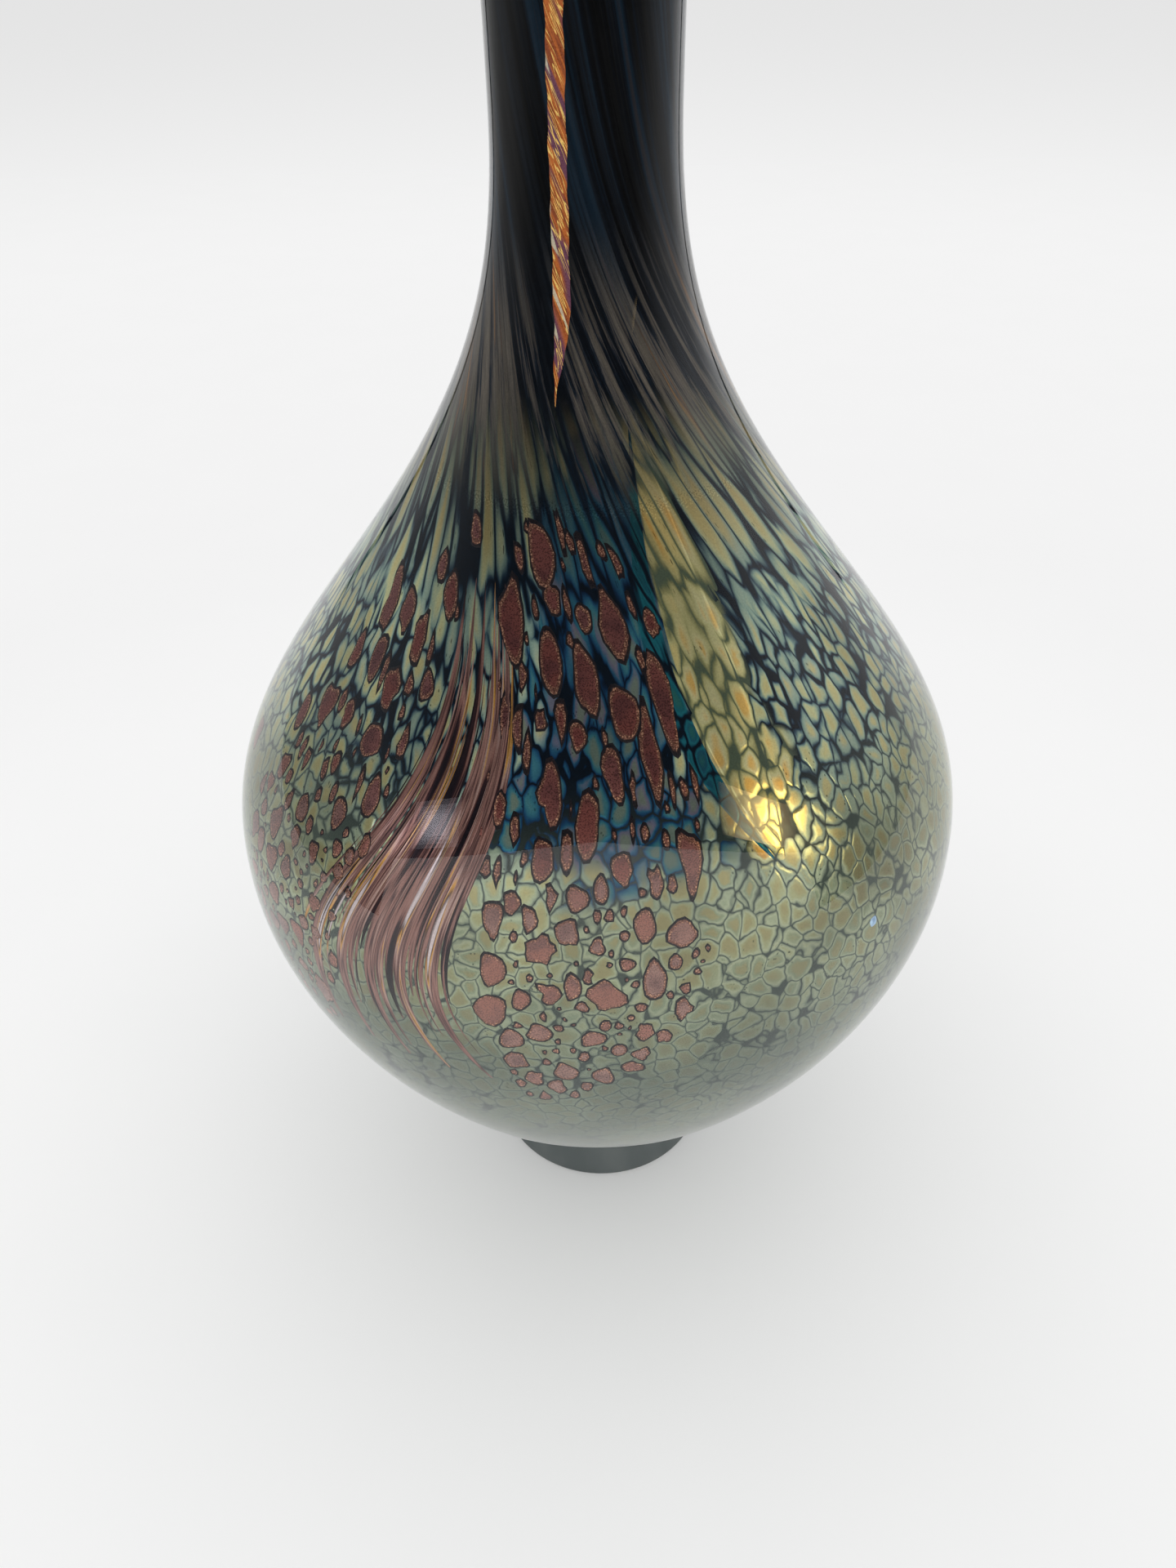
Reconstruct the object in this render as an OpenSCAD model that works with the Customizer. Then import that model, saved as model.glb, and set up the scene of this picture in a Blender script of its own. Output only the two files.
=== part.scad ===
/* [Body] */
// Widest diameter of the blown body, over its clear casing
body_dia = 180; // [160:1:200]
// Height of the widest place above the table
belly_height = 124; // [114:1:134]
// Height of the underside of the bowl above the table
bowl_height = 6; // [4.5:0.5:8]

/* [Neck] */
// Diameter of the neck at its slimmest place
neck_dia = 36; // [32:1:44]
// Height of the slimmest place of the neck
neck_height = 284; // [270:1:300]
// Diameter across the flared mouth
mouth_dia = 52; // [46:1:64]
// Height at which the rim starts to round over
rim_height = 368; // [356:1:380]

/* [Glass layers] */
// Thickness of the clear gather over the decoration
casing_wall = 2.2; // [1.8:0.1:2.6]
// Thickness of the layer that holds the decoration
skin_wall = 0.8; // [0.6:0.1:1]
// Thickness of the dark bubble on the body and the neck
core_wall = 3; // [2.4:0.1:3.6]
// Thickness of the dark bubble at the bottom of the bowl
base_wall = 7; // [5:0.5:9]
// Thickness of the whole wall where the rim starts to round over
rim_wall = 4; // [3:0.25:5]

/* [Foot] */
// Diameter of the foot on the table
foot_dia = 63; // [59:1:68]
// Diameter at which the foot meets the body
joint_dia = 55; // [51:1:59]
// Height at which the foot meets the body
joint_height = 14; // [12:0.5:17]
// Width of the flat ring that the foot rests on
rest_width = 7; // [5:0.5:9]
// Depth of the ground hollow under the foot
pontil_depth = 2.5; // [1.5:0.25:3]
// Size of the softened edge around the foot
foot_edge = 1; // [0.5:0.25:1.5]

/* [Neck ribbon] */
// Width of the twisted ribbon cane
ribbon_width = 3.4; // [2.4:0.2:4.4]
// Distance of the ribbon's middle from the neck's middle, seen from the front
ribbon_offset = 4.8; // [3.8:0.2:5.4]
// Height at which the ribbon's tail ends
ribbon_low = 234; // [228:1:244]

/* [Colour streaks] */
// Height at which the gold streak starts
streak_top = 234; // [228:1:240]
// Height at which the gold streak ends
streak_low = 158; // [150:1:166]
// Greatest width of the gold streak
gold_width = 12; // [9:0.5:14]
// Greatest width of the teal streak beside it
teal_width = 5; // [4:0.5:7]
// Direction of the streak at its top, in degrees right of the front
streak_turn = 16; // [14:1:18]
// Direction of the streak at its lower end, in degrees right of the front
streak_low_turn = 27; // [25:1:29]

/* [Copper plume] */
// Number of pulled strands
strand_count = 5; // [4:1:6]
// Height at which the strands start
plume_top = 206; // [200:1:210]
// Height at which the strands end
plume_low = 112; // [106:1:118]
// Greatest width of one strand
strand_width = 4.2; // [3.4:0.2:4.6]
// Direction of the plume's middle, in degrees left of the front
plume_turn = 27; // [24:1:29]

/* [Copper chips] */
// Number of places for chips in the drift
drift_count = 96; // [70:1:100]
// Number of chips in the trail around the back
trail_count = 15; // [10:1:16]
// Width of the largest chip
chip_width = 7.4; // [5:0.2:7.8]
// Height of the middle of the drift
drift_height = 160; // [155:1:164]

/* [Pale blue flecks] */
// Number of flecks
fleck_count = 5; // [3:1:5]
// Width of the largest fleck
fleck_width = 2.8; // [2:0.2:3.4]
// Height of the ring of flecks
fleck_height = 137; // [132:1:142]

/* [Hidden] */

// Steps along each stretch of the outline, and around a revolved piece
under_steps = 7;
lower_steps = 16;
shoulder_steps = 26;
neck_steps = 13;
rim_steps = 8;
round_fn = 96;

// How far a cutter reaches past what it cuts
overrun = 2;

// Turn from one chip to the next, which spreads them evenly, in degrees
golden_turn = 137.508;

// Control points of the outline. Each is a share of the way from the first to the last
// diameter of its stretch, and a share of the way up that stretch
lower_shares = [[0, 0], [0.16, 0.1], [0.76, 0.45], [1, 0.76], [1, 1]];
shoulder_shares = [[0, 0], [0, 0.17], [0.1, 0.285], [0.88, 0.57], [1, 0.725], [1, 1]];
neck_shares = [[0, 0], [0, 0.35], [0.1, 0.7], [1, 1]];
foot_shares = [[0, 0], [0.25, 0.2], [0.85, 0.55], [1, 1]];
// Shares of the joint's radius that stay level under the bowl, and of the pull at the joint
under_flat_share = 0.52;
under_pull_share = 0.5;

// Middle of the drift, in degrees left of the front
drift_turn = 27;
// How far the drift reaches to each side of its middle, in degrees
drift_reach_turn = 40;
// How far the drift reaches up and down from its middle, as a share of the body's diameter
drift_height_share = 0.3;
// How far the drift's chips stay from the plume's middle, in degrees, at its top and its end
plume_clear_top_turn = 9;
plume_clear_low_turn = 17;
// How far the drift's chips stay left of the streaks, in degrees
streak_clear_turn = 8;
// Width of the smallest chip or fleck, as a share of the largest
small_chip_share = 0.5;
// How much slimmer and how much longer the chips are at the plume's top, as shares of their width
slim_chip_share = 0.33;
long_chip_share = 1.1;
// How much longer than wide a chip of the trail can be, as a share of its width
trail_chip_share = 0.5;
// Corners of a chip, and how far they pull in as a share of its half width
chip_corners = 7;
corner_share = 0.34;
// Places of the trail's first chip and last chip, in degrees left of the front
trail_first_turn = 78;
trail_last_turn = 205;
// How far the trail's chips lie above or below its line, as a share of the body's diameter
trail_height_share = 0.1;
// The scatter takes the last digits of a sine: its turn for each chip, its turn for each seed
// and the factor that brings those digits up
scatter_turn = 127.1;
scatter_seed_turn = 311.7;
scatter_spread = 437.58;
// Seeds of the scatter, one for each thing that it varies
drift_width_seed = 11;
drift_length_seed = 12;
trail_width_seed = 21;
trail_height_seed = 22;
trail_length_seed = 23;
fleck_width_seed = 31;
fleck_height_seed = 32;

// Spacing of the strands at the plume's top and at its end, in degrees
strand_step_top_turn = 2.6;
strand_step_low_turn = 6.2;
// How far the strands sway to each side on their way down, in degrees
strand_sway_turn = 5;
// How late the strands fan out, as the power of the share of their way down
strand_fan_power = 1.5;
// Width of a strand at its tips, as a share of its middle, and in its upper part, as a share
// of its lower part
strand_tip_share = 0.16;
strand_top_share = 0.45;
strand_steps = 16;

// Width of a streak at its ends, as a share of its greatest width
streak_tip_share = 0.12;
// How far down its length a streak is widest, as a power: above 1 is below the middle
streak_lean_power = 1.4;
streak_steps = 14;
// Length of the ribbon's pointed tail, as a multiple of its width
tail_multiple = 5;
// The tail's outline: shares of its length above the end, and of the ribbon's half width to
// the left and to each side
tail_shares = [[1, 0, 1], [0.5, 0.25, 0.75], [0, 1, 0.15]];
// Place of the first fleck and the turn to the next, in degrees right of the front
fleck_first_turn = 42;
fleck_step_turn = 55;
// How far the flecks lie above or below their ring, as a multiple of the largest one's width
fleck_rise_multiple = 2.5;

body_r = body_dia / 2;
neck_r = neck_dia / 2;
mouth_r = mouth_dia / 2;
foot_r = foot_dia / 2;
joint_r = joint_dia / 2;
full_wall = casing_wall + skin_wall + core_wall;

// Curves: a point and a direction on a smooth curve with any number of control points
function along(p, t) =
    len(p) == 1 ? p[0] : along([for (i = [0 : len(p) - 2]) p[i] * (1 - t) + p[i + 1] * t], t);
function heading(p, t) = along([for (i = [0 : len(p) - 2]) p[i + 1] - p[i]], t);
function outward(v) = [v[1], -v[0]] / norm(v);
function stretch(shares, r_from, r_to, z_from, z_to) =
    [for (s = shares) [r_from + (r_to - r_from) * s[0], z_from + (z_to - z_from) * s[1]]];

lower_curve = stretch(lower_shares, joint_r, body_r, joint_height, belly_height);
under_curve = [
    [0, bowl_height],
    [joint_r * under_flat_share, bowl_height],
    lower_curve[0] - heading(lower_curve, 0) * under_pull_share,
    lower_curve[0]
];
shoulder_curve = stretch(shoulder_shares, body_r, neck_r, belly_height, neck_height);
neck_curve = stretch(neck_shares, neck_r, mouth_r, neck_height, rim_height);

// One station of the wall: place, outward direction, share of the thinning towards the rim,
// and share of the thickening towards the bottom
function station(curve, t, thin, thick) =
    [along(curve, t), outward(heading(curve, t)), thin, thick];
wall = concat(
    [for (i = [0 : under_steps - 1]) station(under_curve, i / under_steps, 0, 1)],
    [for (i = [0 : lower_steps - 1])
        station(lower_curve, i / lower_steps, 0, pow(1 - i / lower_steps, 2))],
    [for (i = [0 : shoulder_steps - 1]) station(shoulder_curve, i / shoulder_steps, 0, 0)],
    [for (i = [0 : neck_steps]) station(neck_curve, i / neck_steps, i / neck_steps, 0)]
);

// Depth of each face below the outside of the glass at a station. Face 0 is the outside,
// 1 the inside of the casing, 2 the inside of the decorated layer and 3 the inside of the vase
function face_depth(s, face) =
    [0, casing_wall, casing_wall + skin_wall, full_wall][face]
    * (1 + s[2] * (rim_wall / full_wall - 1))
    + (face == 3 ? (base_wall - core_wall) * s[3] : 0);
function face_path(face) = [for (s = wall) s[0] - s[1] * face_depth(s, face)];
function reversed(p) = [for (i = [len(p) - 1 : -1 : 0]) p[i]];

// Radius of the outside of the glass at a height
outside_table = [for (s = wall) [s[0][1], s[0][0]]];
function outside_r(z) = lookup(z, outside_table);

// A repeatable scatter between 0 and 1 for two whole numbers
function scatter(i, seed) =
    let (v = sin(i * scatter_turn + seed * scatter_seed_turn) * scatter_spread) v - floor(v);
// Share of the largest width that chip or fleck i has
function varied(i, seed) = small_chip_share + (1 - small_chip_share) * scatter(i, seed);

// The glass between two faces of the wall, all the way round
module layer(outer, inner) {
    rotate_extrude($fn = round_fn)
        polygon(concat(face_path(outer), reversed(face_path(inner))));
}

module decorated_layer() {
    layer(1, 2);
}

// Half circle that rounds the rim over from the outside to the inside of the wall
function rim_arc() =
    let (s = wall[len(wall) - 1],
         across = s[1] * rim_wall / 2,
         up = [-s[1][1], s[1][0]] * rim_wall / 2,
         middle = s[0] - across)
    [for (i = [1 : rim_steps - 1])
        middle + across * cos(180 * i / rim_steps) + up * sin(180 * i / rim_steps)];

// A strip that runs down the front of the vase. Each row is [height, middle, half width]
// in the front view. The strip reaches from the air in front of the glass into the bore
module front_strip(rows) {
    translate([0, -neck_r / 2, 0])
        rotate([90, 0, 0])
            linear_extrude(height = body_r)
                polygon(concat(
                    [for (r = rows) [r[1] - r[2], r[0]]],
                    [for (r = reversed(rows)) [r[1] + r[2], r[0]]]
                ));
}

// The streaks: share 0 is their top and share 1 their lower end
function streak_height(share) = streak_top + (streak_low - streak_top) * share;
function streak_middle(share) =
    let (z = streak_height(share))
    outside_r(z) * sin(streak_turn + (streak_low_turn - streak_turn) * share);
function swell(share, tip) = tip + (1 - tip) * sin(180 * pow(share, streak_lean_power));
function gold_half(share) = gold_width / 2 * swell(share, streak_tip_share);
function teal_full(share) = teal_width * swell(share, streak_tip_share);

module gold_strip() {
    front_strip([for (i = [0 : streak_steps])
        let (share = i / streak_steps)
        [streak_height(share), streak_middle(share), gold_half(share)]]);
}

module teal_strip() {
    front_strip([for (i = [0 : streak_steps])
        let (share = i / streak_steps, half = teal_full(share) / 2)
        [streak_height(share), streak_middle(share) - gold_half(share) - half, half]]);
}

// The ribbon keeps its width up to the rim and runs out in a pointed tail below
module ribbon_strip() {
    tail = ribbon_width * tail_multiple;
    half = ribbon_width / 2;
    front_strip(concat(
        [[rim_height + rim_wall + overrun, -ribbon_offset, half]],
        [for (s = tail_shares)
            [ribbon_low + tail * s[0], -ribbon_offset - half * s[1], half * s[2]]]
    ));
}

// One strand of the plume. Strands start side by side, sway together and fan out below
function strand_turn(k, share) =
    let (side = k - (strand_count - 1) / 2,
         fan = pow(share, strand_fan_power),
         step = strand_step_top_turn + (strand_step_low_turn - strand_step_top_turn) * fan)
    -plume_turn + side * step + strand_sway_turn * sin(360 * share);
module strand_strip(k) {
    front_strip([for (i = [0 : strand_steps])
        let (share = i / strand_steps,
             z = plume_top + (plume_low - plume_top) * share,
             width = strand_width * (strand_top_share + (1 - strand_top_share) * share)
                     * (strand_tip_share + (1 - strand_tip_share) * sin(180 * share)))
        [z, outside_r(z) * sin(strand_turn(k, share)), width / 2]]);
}

module plume_strips() {
    for (k = [0 : strand_count - 1]) strand_strip(k);
}

// Outline of one chip: a pebble with uneven corners
function pebble(i, width, length) =
    [for (k = [0 : chip_corners - 1])
        let (a = 360 * k / chip_corners,
             pull = 1 - corner_share * scatter(i, k))
        [width / 2 * pull * cos(a), length / 2 * pull * sin(a)]];

// A cutter for one chip: it stands on the outside of the glass at a turn and a height
module chip_cutter(i, turn, z, width, length) {
    depth = length + full_wall;
    rotate([0, 0, turn])
        translate([0, depth / 2 - outside_r(z), z])
            rotate([90, 0, 0])
                linear_extrude(height = depth)
                    polygon(pebble(i, width, length));
}

// The drift: chips spread evenly over an oval on the front and left, clear of the plume
// and the streaks. Each is [turn, height, width, length]
drift_half = body_dia * drift_height_share;
function drift_chip(i) =
    let (reach = sqrt((i + 0.5) / drift_count),
         turn = -drift_turn + drift_reach_turn * reach * cos(i * golden_turn),
         z = drift_height + drift_half * reach * sin(i * golden_turn),
         width = chip_width * varied(i, drift_width_seed),
         high = max(0, (z - belly_height) / (plume_top - belly_height)))
    [turn, z, width * (1 - slim_chip_share * high),
     width * (1 + long_chip_share * high * scatter(i, drift_length_seed))];
function plume_clear(c) =
    let (share = (plume_top - c[1]) / (plume_top - plume_low),
         held = min(1, max(0, share)),
         clear = plume_clear_top_turn + (plume_clear_low_turn - plume_clear_top_turn) * held)
    abs(c[0] + plume_turn - strand_sway_turn * sin(360 * held)) > clear;
function streak_clear(c) = c[0] < streak_turn - streak_clear_turn;
drift = [for (i = [0 : drift_count - 1])
    let (c = drift_chip(i))
    if (plume_clear(c) && streak_clear(c)) c];

// The trail: the drift runs on around the left side and the back in single chips
trail_step = (trail_last_turn - trail_first_turn) / (trail_count - 1);
trail_rise = body_dia * trail_height_share;
trail = [for (i = [0 : trail_count - 1])
    let (share = i / (trail_count - 1),
         width = chip_width * varied(i, trail_width_seed))
    [-trail_first_turn - trail_step * i,
     belly_height + trail_rise * (scatter(i, trail_height_seed) * 2 - 1 + cos(90 * share)),
     width, width * (1 + trail_chip_share * scatter(i, trail_length_seed))]];
chips = concat(drift, trail);

module chip_cutters() {
    for (i = [0 : len(chips) - 1])
        chip_cutter(i, chips[i][0], chips[i][1], chips[i][2], chips[i][3]);
}

// The flecks: a ring around the body. Each stands midway between two places of the trail
function between_chips(turn) =
    -trail_first_turn - trail_step * (floor((-trail_first_turn - turn) / trail_step) + 1 / 2);
module fleck_cutters() {
    for (i = [0 : fleck_count - 1]) {
        turn = between_chips(fleck_first_turn + fleck_step_turn * i - 360);
        z = fleck_height
            + fleck_width * fleck_rise_multiple * (scatter(i, fleck_height_seed) * 2 - 1);
        width = fleck_width * varied(i, fleck_width_seed);
        chip_cutter(i + trail_count, turn, z, width, width);
    }
}

// The dark inner bubble, which is the wall of the vase and holds the water
module core_bubble() {
    color([0.03, 0.05, 0.08])
        layer(2, 3);
}

// The spotted layer rolled onto the bubble, with a window for each piece of colour in it
module spot_skin() {
    color([0.47, 0.52, 0.38])
        difference() {
            decorated_layer();
            gold_strip();
            teal_strip();
            ribbon_strip();
            plume_strips();
            chip_cutters();
            fleck_cutters();
        }
}

module gold_streak() {
    color([0.75, 0.6, 0.25])
        intersection() {
            decorated_layer();
            gold_strip();
        }
}

module teal_streak() {
    color([0.02, 0.3, 0.38])
        intersection() {
            decorated_layer();
            teal_strip();
        }
}

module neck_ribbon() {
    color([0.75, 0.4, 0.12])
        intersection() {
            decorated_layer();
            ribbon_strip();
        }
}

module copper_plume() {
    color([0.55, 0.36, 0.33])
        intersection() {
            decorated_layer();
            plume_strips();
        }
}

module copper_chips() {
    color([0.5, 0.31, 0.26])
        intersection() {
            decorated_layer();
            chip_cutters();
        }
}

module blue_flecks() {
    color([0.45, 0.6, 0.8])
        intersection() {
            decorated_layer();
            fleck_cutters();
        }
}

// The clear gather over everything, which rounds over the rim and covers the other layers
module clear_casing() {
    color([0.85, 0.92, 0.9, 0.35])
        rotate_extrude($fn = round_fn)
            polygon(concat(
                face_path(0),
                rim_arc(),
                [face_path(3)[len(wall) - 1]],
                reversed(face_path(1))
            ));
}

// The applied foot: it cups the underside of the bowl and has a ground hollow below
module foot() {
    side = stretch(foot_shares, foot_r, joint_r, foot_edge, joint_height);
    rest_r = foot_r - foot_edge - rest_width;
    hollow_r = (rest_r * rest_r + pontil_depth * pontil_depth) / (2 * pontil_depth);
    hollow_turn = asin(rest_r / hollow_r);
    color([0.2, 0.22, 0.23])
        rotate_extrude($fn = round_fn)
            polygon(concat(
                [for (i = [0 : rim_steps])
                    let (a = hollow_turn * i / rim_steps)
                    [hollow_r * sin(a), pontil_depth - hollow_r * (1 - cos(a))]],
                [for (i = [0 : rim_steps])
                    let (a = 90 * i / rim_steps)
                    [foot_r - foot_edge * (1 - sin(a)), foot_edge * (1 - cos(a))]],
                [for (i = [1 : rim_steps]) along(side, i / rim_steps)],
                reversed([for (i = [0 : under_steps - 1]) wall[i][0]])
            ));
}

core_bubble();
spot_skin();
gold_streak();
teal_streak();
neck_ribbon();
copper_plume();
copper_chips();
blue_flecks();
clear_casing();
foot();
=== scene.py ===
"""A studio glass vase: dark blown bubble, lustred spots, copper, clear casing and applied foot.

Every length is in metres in the mesh code and in millimetres in the finishes. Patterns read the
flow attribute, which is where each grain of colour lay before the glass was stretched and
twisted. A value whose name ends in ease holds what Sheet.ease is given: where a change starts
and ends, and at times its results there. One whose name ends in noise holds what Sheet.noise is
given: size, number of finer layers and their strength.
"""

import logging
import math
import random
from dataclasses import dataclass
from enum import Enum
from typing import Callable, Optional, Sequence, Union

import bpy
import numpy as np
from mathutils import Matrix, Quaternion, Vector


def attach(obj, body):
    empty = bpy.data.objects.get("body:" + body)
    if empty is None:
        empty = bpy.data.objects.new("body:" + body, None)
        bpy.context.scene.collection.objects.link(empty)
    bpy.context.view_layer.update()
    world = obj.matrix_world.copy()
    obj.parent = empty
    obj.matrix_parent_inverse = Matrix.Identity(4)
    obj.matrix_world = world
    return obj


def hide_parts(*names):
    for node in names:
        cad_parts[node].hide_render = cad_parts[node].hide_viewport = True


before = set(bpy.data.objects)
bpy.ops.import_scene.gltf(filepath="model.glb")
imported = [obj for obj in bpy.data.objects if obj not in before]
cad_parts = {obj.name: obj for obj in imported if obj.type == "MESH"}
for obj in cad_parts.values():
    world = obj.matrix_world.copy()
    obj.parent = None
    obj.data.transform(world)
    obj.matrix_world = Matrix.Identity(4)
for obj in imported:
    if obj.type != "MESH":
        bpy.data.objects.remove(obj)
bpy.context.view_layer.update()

log = logging.getLogger("vase")

MM = 0.001
BODY = "root"
Point = tuple[float, float]
Colour = tuple[float, float, float]
Stops = Sequence[tuple[float, Colour]]
Numbers = tuple[float, ...]
Measure = Union[float, np.ndarray]
Socket = bpy.types.NodeSocket
Value = Union[Socket, float, Sequence[float]]


class Face(Enum):
    """The faces of the wall, from the outside in."""

    OUTSIDE = 0
    UNDER_CASING = 1
    UNDER_SPOTS = 2
    BORE = 3


class Ray(Enum):
    """The kinds of light ray that a studio surface can tell apart."""

    CAMERA = "Is Camera Ray"
    SHADOW = "Is Shadow Ray"
    DIFFUSE = "Is Diffuse Ray"
    GLOSSY = "Is Glossy Ray"
    THROUGH = "Is Transmission Ray"


def along(points: Sequence[np.ndarray], t: float) -> np.ndarray:
    """Finds a point on a smooth curve with any number of control points.

    Args:
        points: The control points.
        t: The share of the way along the curve.

    Returns:
        The point.
    """
    points = list(points)
    while len(points) > 1:
        points = [a * (1 - t) + b * t for a, b in zip(points, points[1:])]
    return points[0]


def heading(points: Sequence[np.ndarray], t: float) -> np.ndarray:
    """Finds the direction of a smooth curve.

    Args:
        points: The control points.
        t: The share of the way along the curve.

    Returns:
        The direction, not of unit length.
    """
    return along([b - a for a, b in zip(points, points[1:])], t)


def smooth(value: Measure, low: float, high: float) -> Measure:
    """Eases a number or an array of numbers from 0 at low to 1 at high."""
    t = np.clip((value - low) / (high - low), 0, 1)
    return t * t * (3 - 2 * t)


@dataclass
class Outline:
    """The wall of the vase: its outside, and each layer's depth below it."""

    body_r: float = 90 * MM
    belly_height: float = 124 * MM
    bowl_height: float = 6 * MM
    neck_r: float = 18 * MM
    neck_height: float = 284 * MM
    mouth_r: float = 26 * MM
    rim_height: float = 368 * MM
    joint_r: float = 27.5 * MM
    joint_height: float = 14 * MM
    casing_wall: float = 2.2 * MM
    skin_wall: float = 0.8 * MM
    core_wall: float = 3 * MM
    base_wall: float = 7 * MM
    rim_wall: float = 4 * MM
    under_flat_share: float = 0.52
    under_pull_share: float = 0.5
    lower_shares: Sequence[Point] = ((0, 0), (0.16, 0.1), (0.76, 0.45), (1, 0.76), (1, 1))
    shoulder_shares: Sequence[Point] = (
        (0, 0), (0, 0.17), (0.1, 0.285), (0.88, 0.57), (1, 0.725), (1, 1))
    neck_shares: Sequence[Point] = ((0, 0), (0, 0.35), (0.1, 0.7), (1, 1))
    steps: Sequence[int] = (14, 44, 84, 42)
    rim_steps: int = 14

    def __post_init__(self) -> None:
        """Works out the stations of the wall once."""
        lower = self.stretch(self.lower_shares, self.joint_r, self.body_r,
                             self.joint_height, self.belly_height)
        under = [
            np.array((0, self.bowl_height)),
            np.array((self.joint_r * self.under_flat_share, self.bowl_height)),
            lower[0] - heading(lower, 0) * self.under_pull_share,
            lower[0],
        ]
        shoulder = self.stretch(self.shoulder_shares, self.body_r, self.neck_r,
                                self.belly_height, self.neck_height)
        neck = self.stretch(self.neck_shares, self.neck_r, self.mouth_r,
                            self.neck_height, self.rim_height)
        self.stations: list[tuple[np.ndarray, np.ndarray, float, float]] = []
        for part, (curve, count) in enumerate(zip((under, lower, shoulder, neck), self.steps)):
            for i in range(count + (curve is neck)):
                t = i / count
                way = heading(curve, t)
                normal = np.array((way[1], -way[0])) / np.linalg.norm(way)
                thick = (1, (1 - t) ** 2, 0, 0)[part]
                self.stations.append((along(curve, t), normal, t if curve is neck else 0, thick))
        self.outside = np.array([s[0] for s in self.stations])
        reach = np.hypot(*np.diff(self.outside, axis=0).T)
        self.arc = np.concatenate(([0], np.cumsum(reach)))

    @staticmethod
    def stretch(shares: Sequence[Point], r_from: float, r_to: float,
                z_from: float, z_to: float) -> list[np.ndarray]:
        """Turns control points given as shares into places.

        Args:
            shares: Shares of the change of radius and of height.
            r_from: Radius at the lower end.
            r_to: Radius at the upper end.
            z_from: Height of the lower end.
            z_to: Height of the upper end.

        Returns:
            The control points as radius and height.
        """
        return [np.array((r_from + (r_to - r_from) * a, z_from + (z_to - z_from) * b))
                for a, b in shares]

    def depth(self, thin: float, thick: float, face: Face) -> float:
        """Finds how deep a face lies below the outside.

        Args:
            thin: Share of the thinning towards the rim.
            thick: Share of the thickening towards the bottom.
            face: The face.

        Returns:
            The depth.
        """
        full = self.casing_wall + self.skin_wall + self.core_wall
        plain = (0, self.casing_wall, self.casing_wall + self.skin_wall, full)[face.value]
        deep = plain * (1 + thin * (self.rim_wall / full - 1))
        return deep + (thick * (self.base_wall - self.core_wall) if face is Face.BORE else 0)

    def path(self, face: Face, sunk: float = 0.0) -> list[Point]:
        """Lists the points of a face from the bottom's middle to the rim.

        Args:
            face: The face.
            sunk: How much deeper than the face the points lie.

        Returns:
            Radius and height of each point.
        """
        points = []
        for place, normal, thin, thick in self.stations:
            r, z = place - normal * (self.depth(thin, thick, face) + sunk)
            points.append((max(float(r), 0.0), float(z)))
        return points

    def rim(self) -> list[Point]:
        """Lists the points that round the rim over.

        Returns:
            Radius and height of each point, from the outside to the bore.
        """
        place, normal, _, _ = self.stations[-1]
        across = normal * self.rim_wall / 2
        up = np.array((-normal[1], normal[0])) * self.rim_wall / 2
        turns = [math.pi * i / self.rim_steps for i in range(1, self.rim_steps)]
        return [tuple(place - across + across * math.cos(a) + up * math.sin(a)) for a in turns]

    def radius(self, z: np.ndarray, inward: np.ndarray) -> np.ndarray:
        """Finds the radius of the face under the casing at some heights.

        Args:
            z: The heights, above the joint with the foot.
            inward: How much deeper than the face each place lies.

        Returns:
            The radii.
        """
        first = self.steps[0]
        face = np.array(self.path(Face.UNDER_CASING)[first:])
        lean = np.array([station[1][0] for station in self.stations[first:]])
        return np.interp(z, face[:, 1], face[:, 0]) - inward / np.interp(z, face[:, 1], lean)

    def reach(self, z: float) -> float:
        """Finds the radius of the outside at a height above the joint with the foot."""
        side = self.outside[self.steps[0]:]
        return float(np.interp(z, side[:, 1], side[:, 0]))


@dataclass
class Flow:
    """How the maker's stretching and twisting moved each grain of colour."""

    outline: Outline
    twist_low: float = 160 * MM
    twist_high: float = 258 * MM
    twist_rate: float = 1.15
    twist_power: float = 1.2
    ease_low: float = 258 * MM
    ease_high: float = 295 * MM
    ease_drop: float = 0.45
    stretch_power: float = 1.7

    def rate(self, z: float) -> float:
        """Gives the twist at a height, in degrees for each millimetre."""
        pulled = smooth(z, self.twist_low, self.twist_high) ** self.twist_power
        return self.twist_rate * pulled - self.ease_drop * smooth(z, self.ease_low,
                                                                  self.ease_high)

    def __post_init__(self) -> None:
        """Adds the twist and the stretch up from the belly, step by step."""
        rows = [(z, r, s) for (r, z), s in zip(self.outline.outside, self.outline.arc)
                if z >= self.outline.belly_height]
        turn, rise = 0.0, self.outline.belly_height / MM
        self.heights, self.turns, self.rises = [rows[0][0]], [turn], [rise]
        for (z0, r0, s0), (z1, r1, s1) in zip(rows, rows[1:]):
            turn += math.radians(self.rate((z0 + z1) / 2)) * (z1 - z0) / MM
            share = ((r0 + r1) / 2 / self.outline.body_r) ** self.stretch_power
            rise += share * (s1 - s0) / MM
            self.heights.append(z1)
            self.turns.append(turn)
            self.rises.append(rise)

    def source(self, places: np.ndarray) -> np.ndarray:
        """Finds where grains lay before the glass was stretched.

        Args:
            places: The grains' places now, one in each row.

        Returns:
            Their places on the unstretched bubble, in millimetres.
        """
        x, y, z = places.T
        turn = np.arctan2(x, -y) + np.interp(z, self.heights, self.turns)
        above = z > self.outline.belly_height
        rise = np.where(above, np.interp(z, self.heights, self.rises), z / MM)
        r = np.where(above, self.outline.body_r - self.outline.casing_wall, np.hypot(x, y))
        return np.column_stack((r / MM * np.sin(turn), -r / MM * np.cos(turn), rise))


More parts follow.
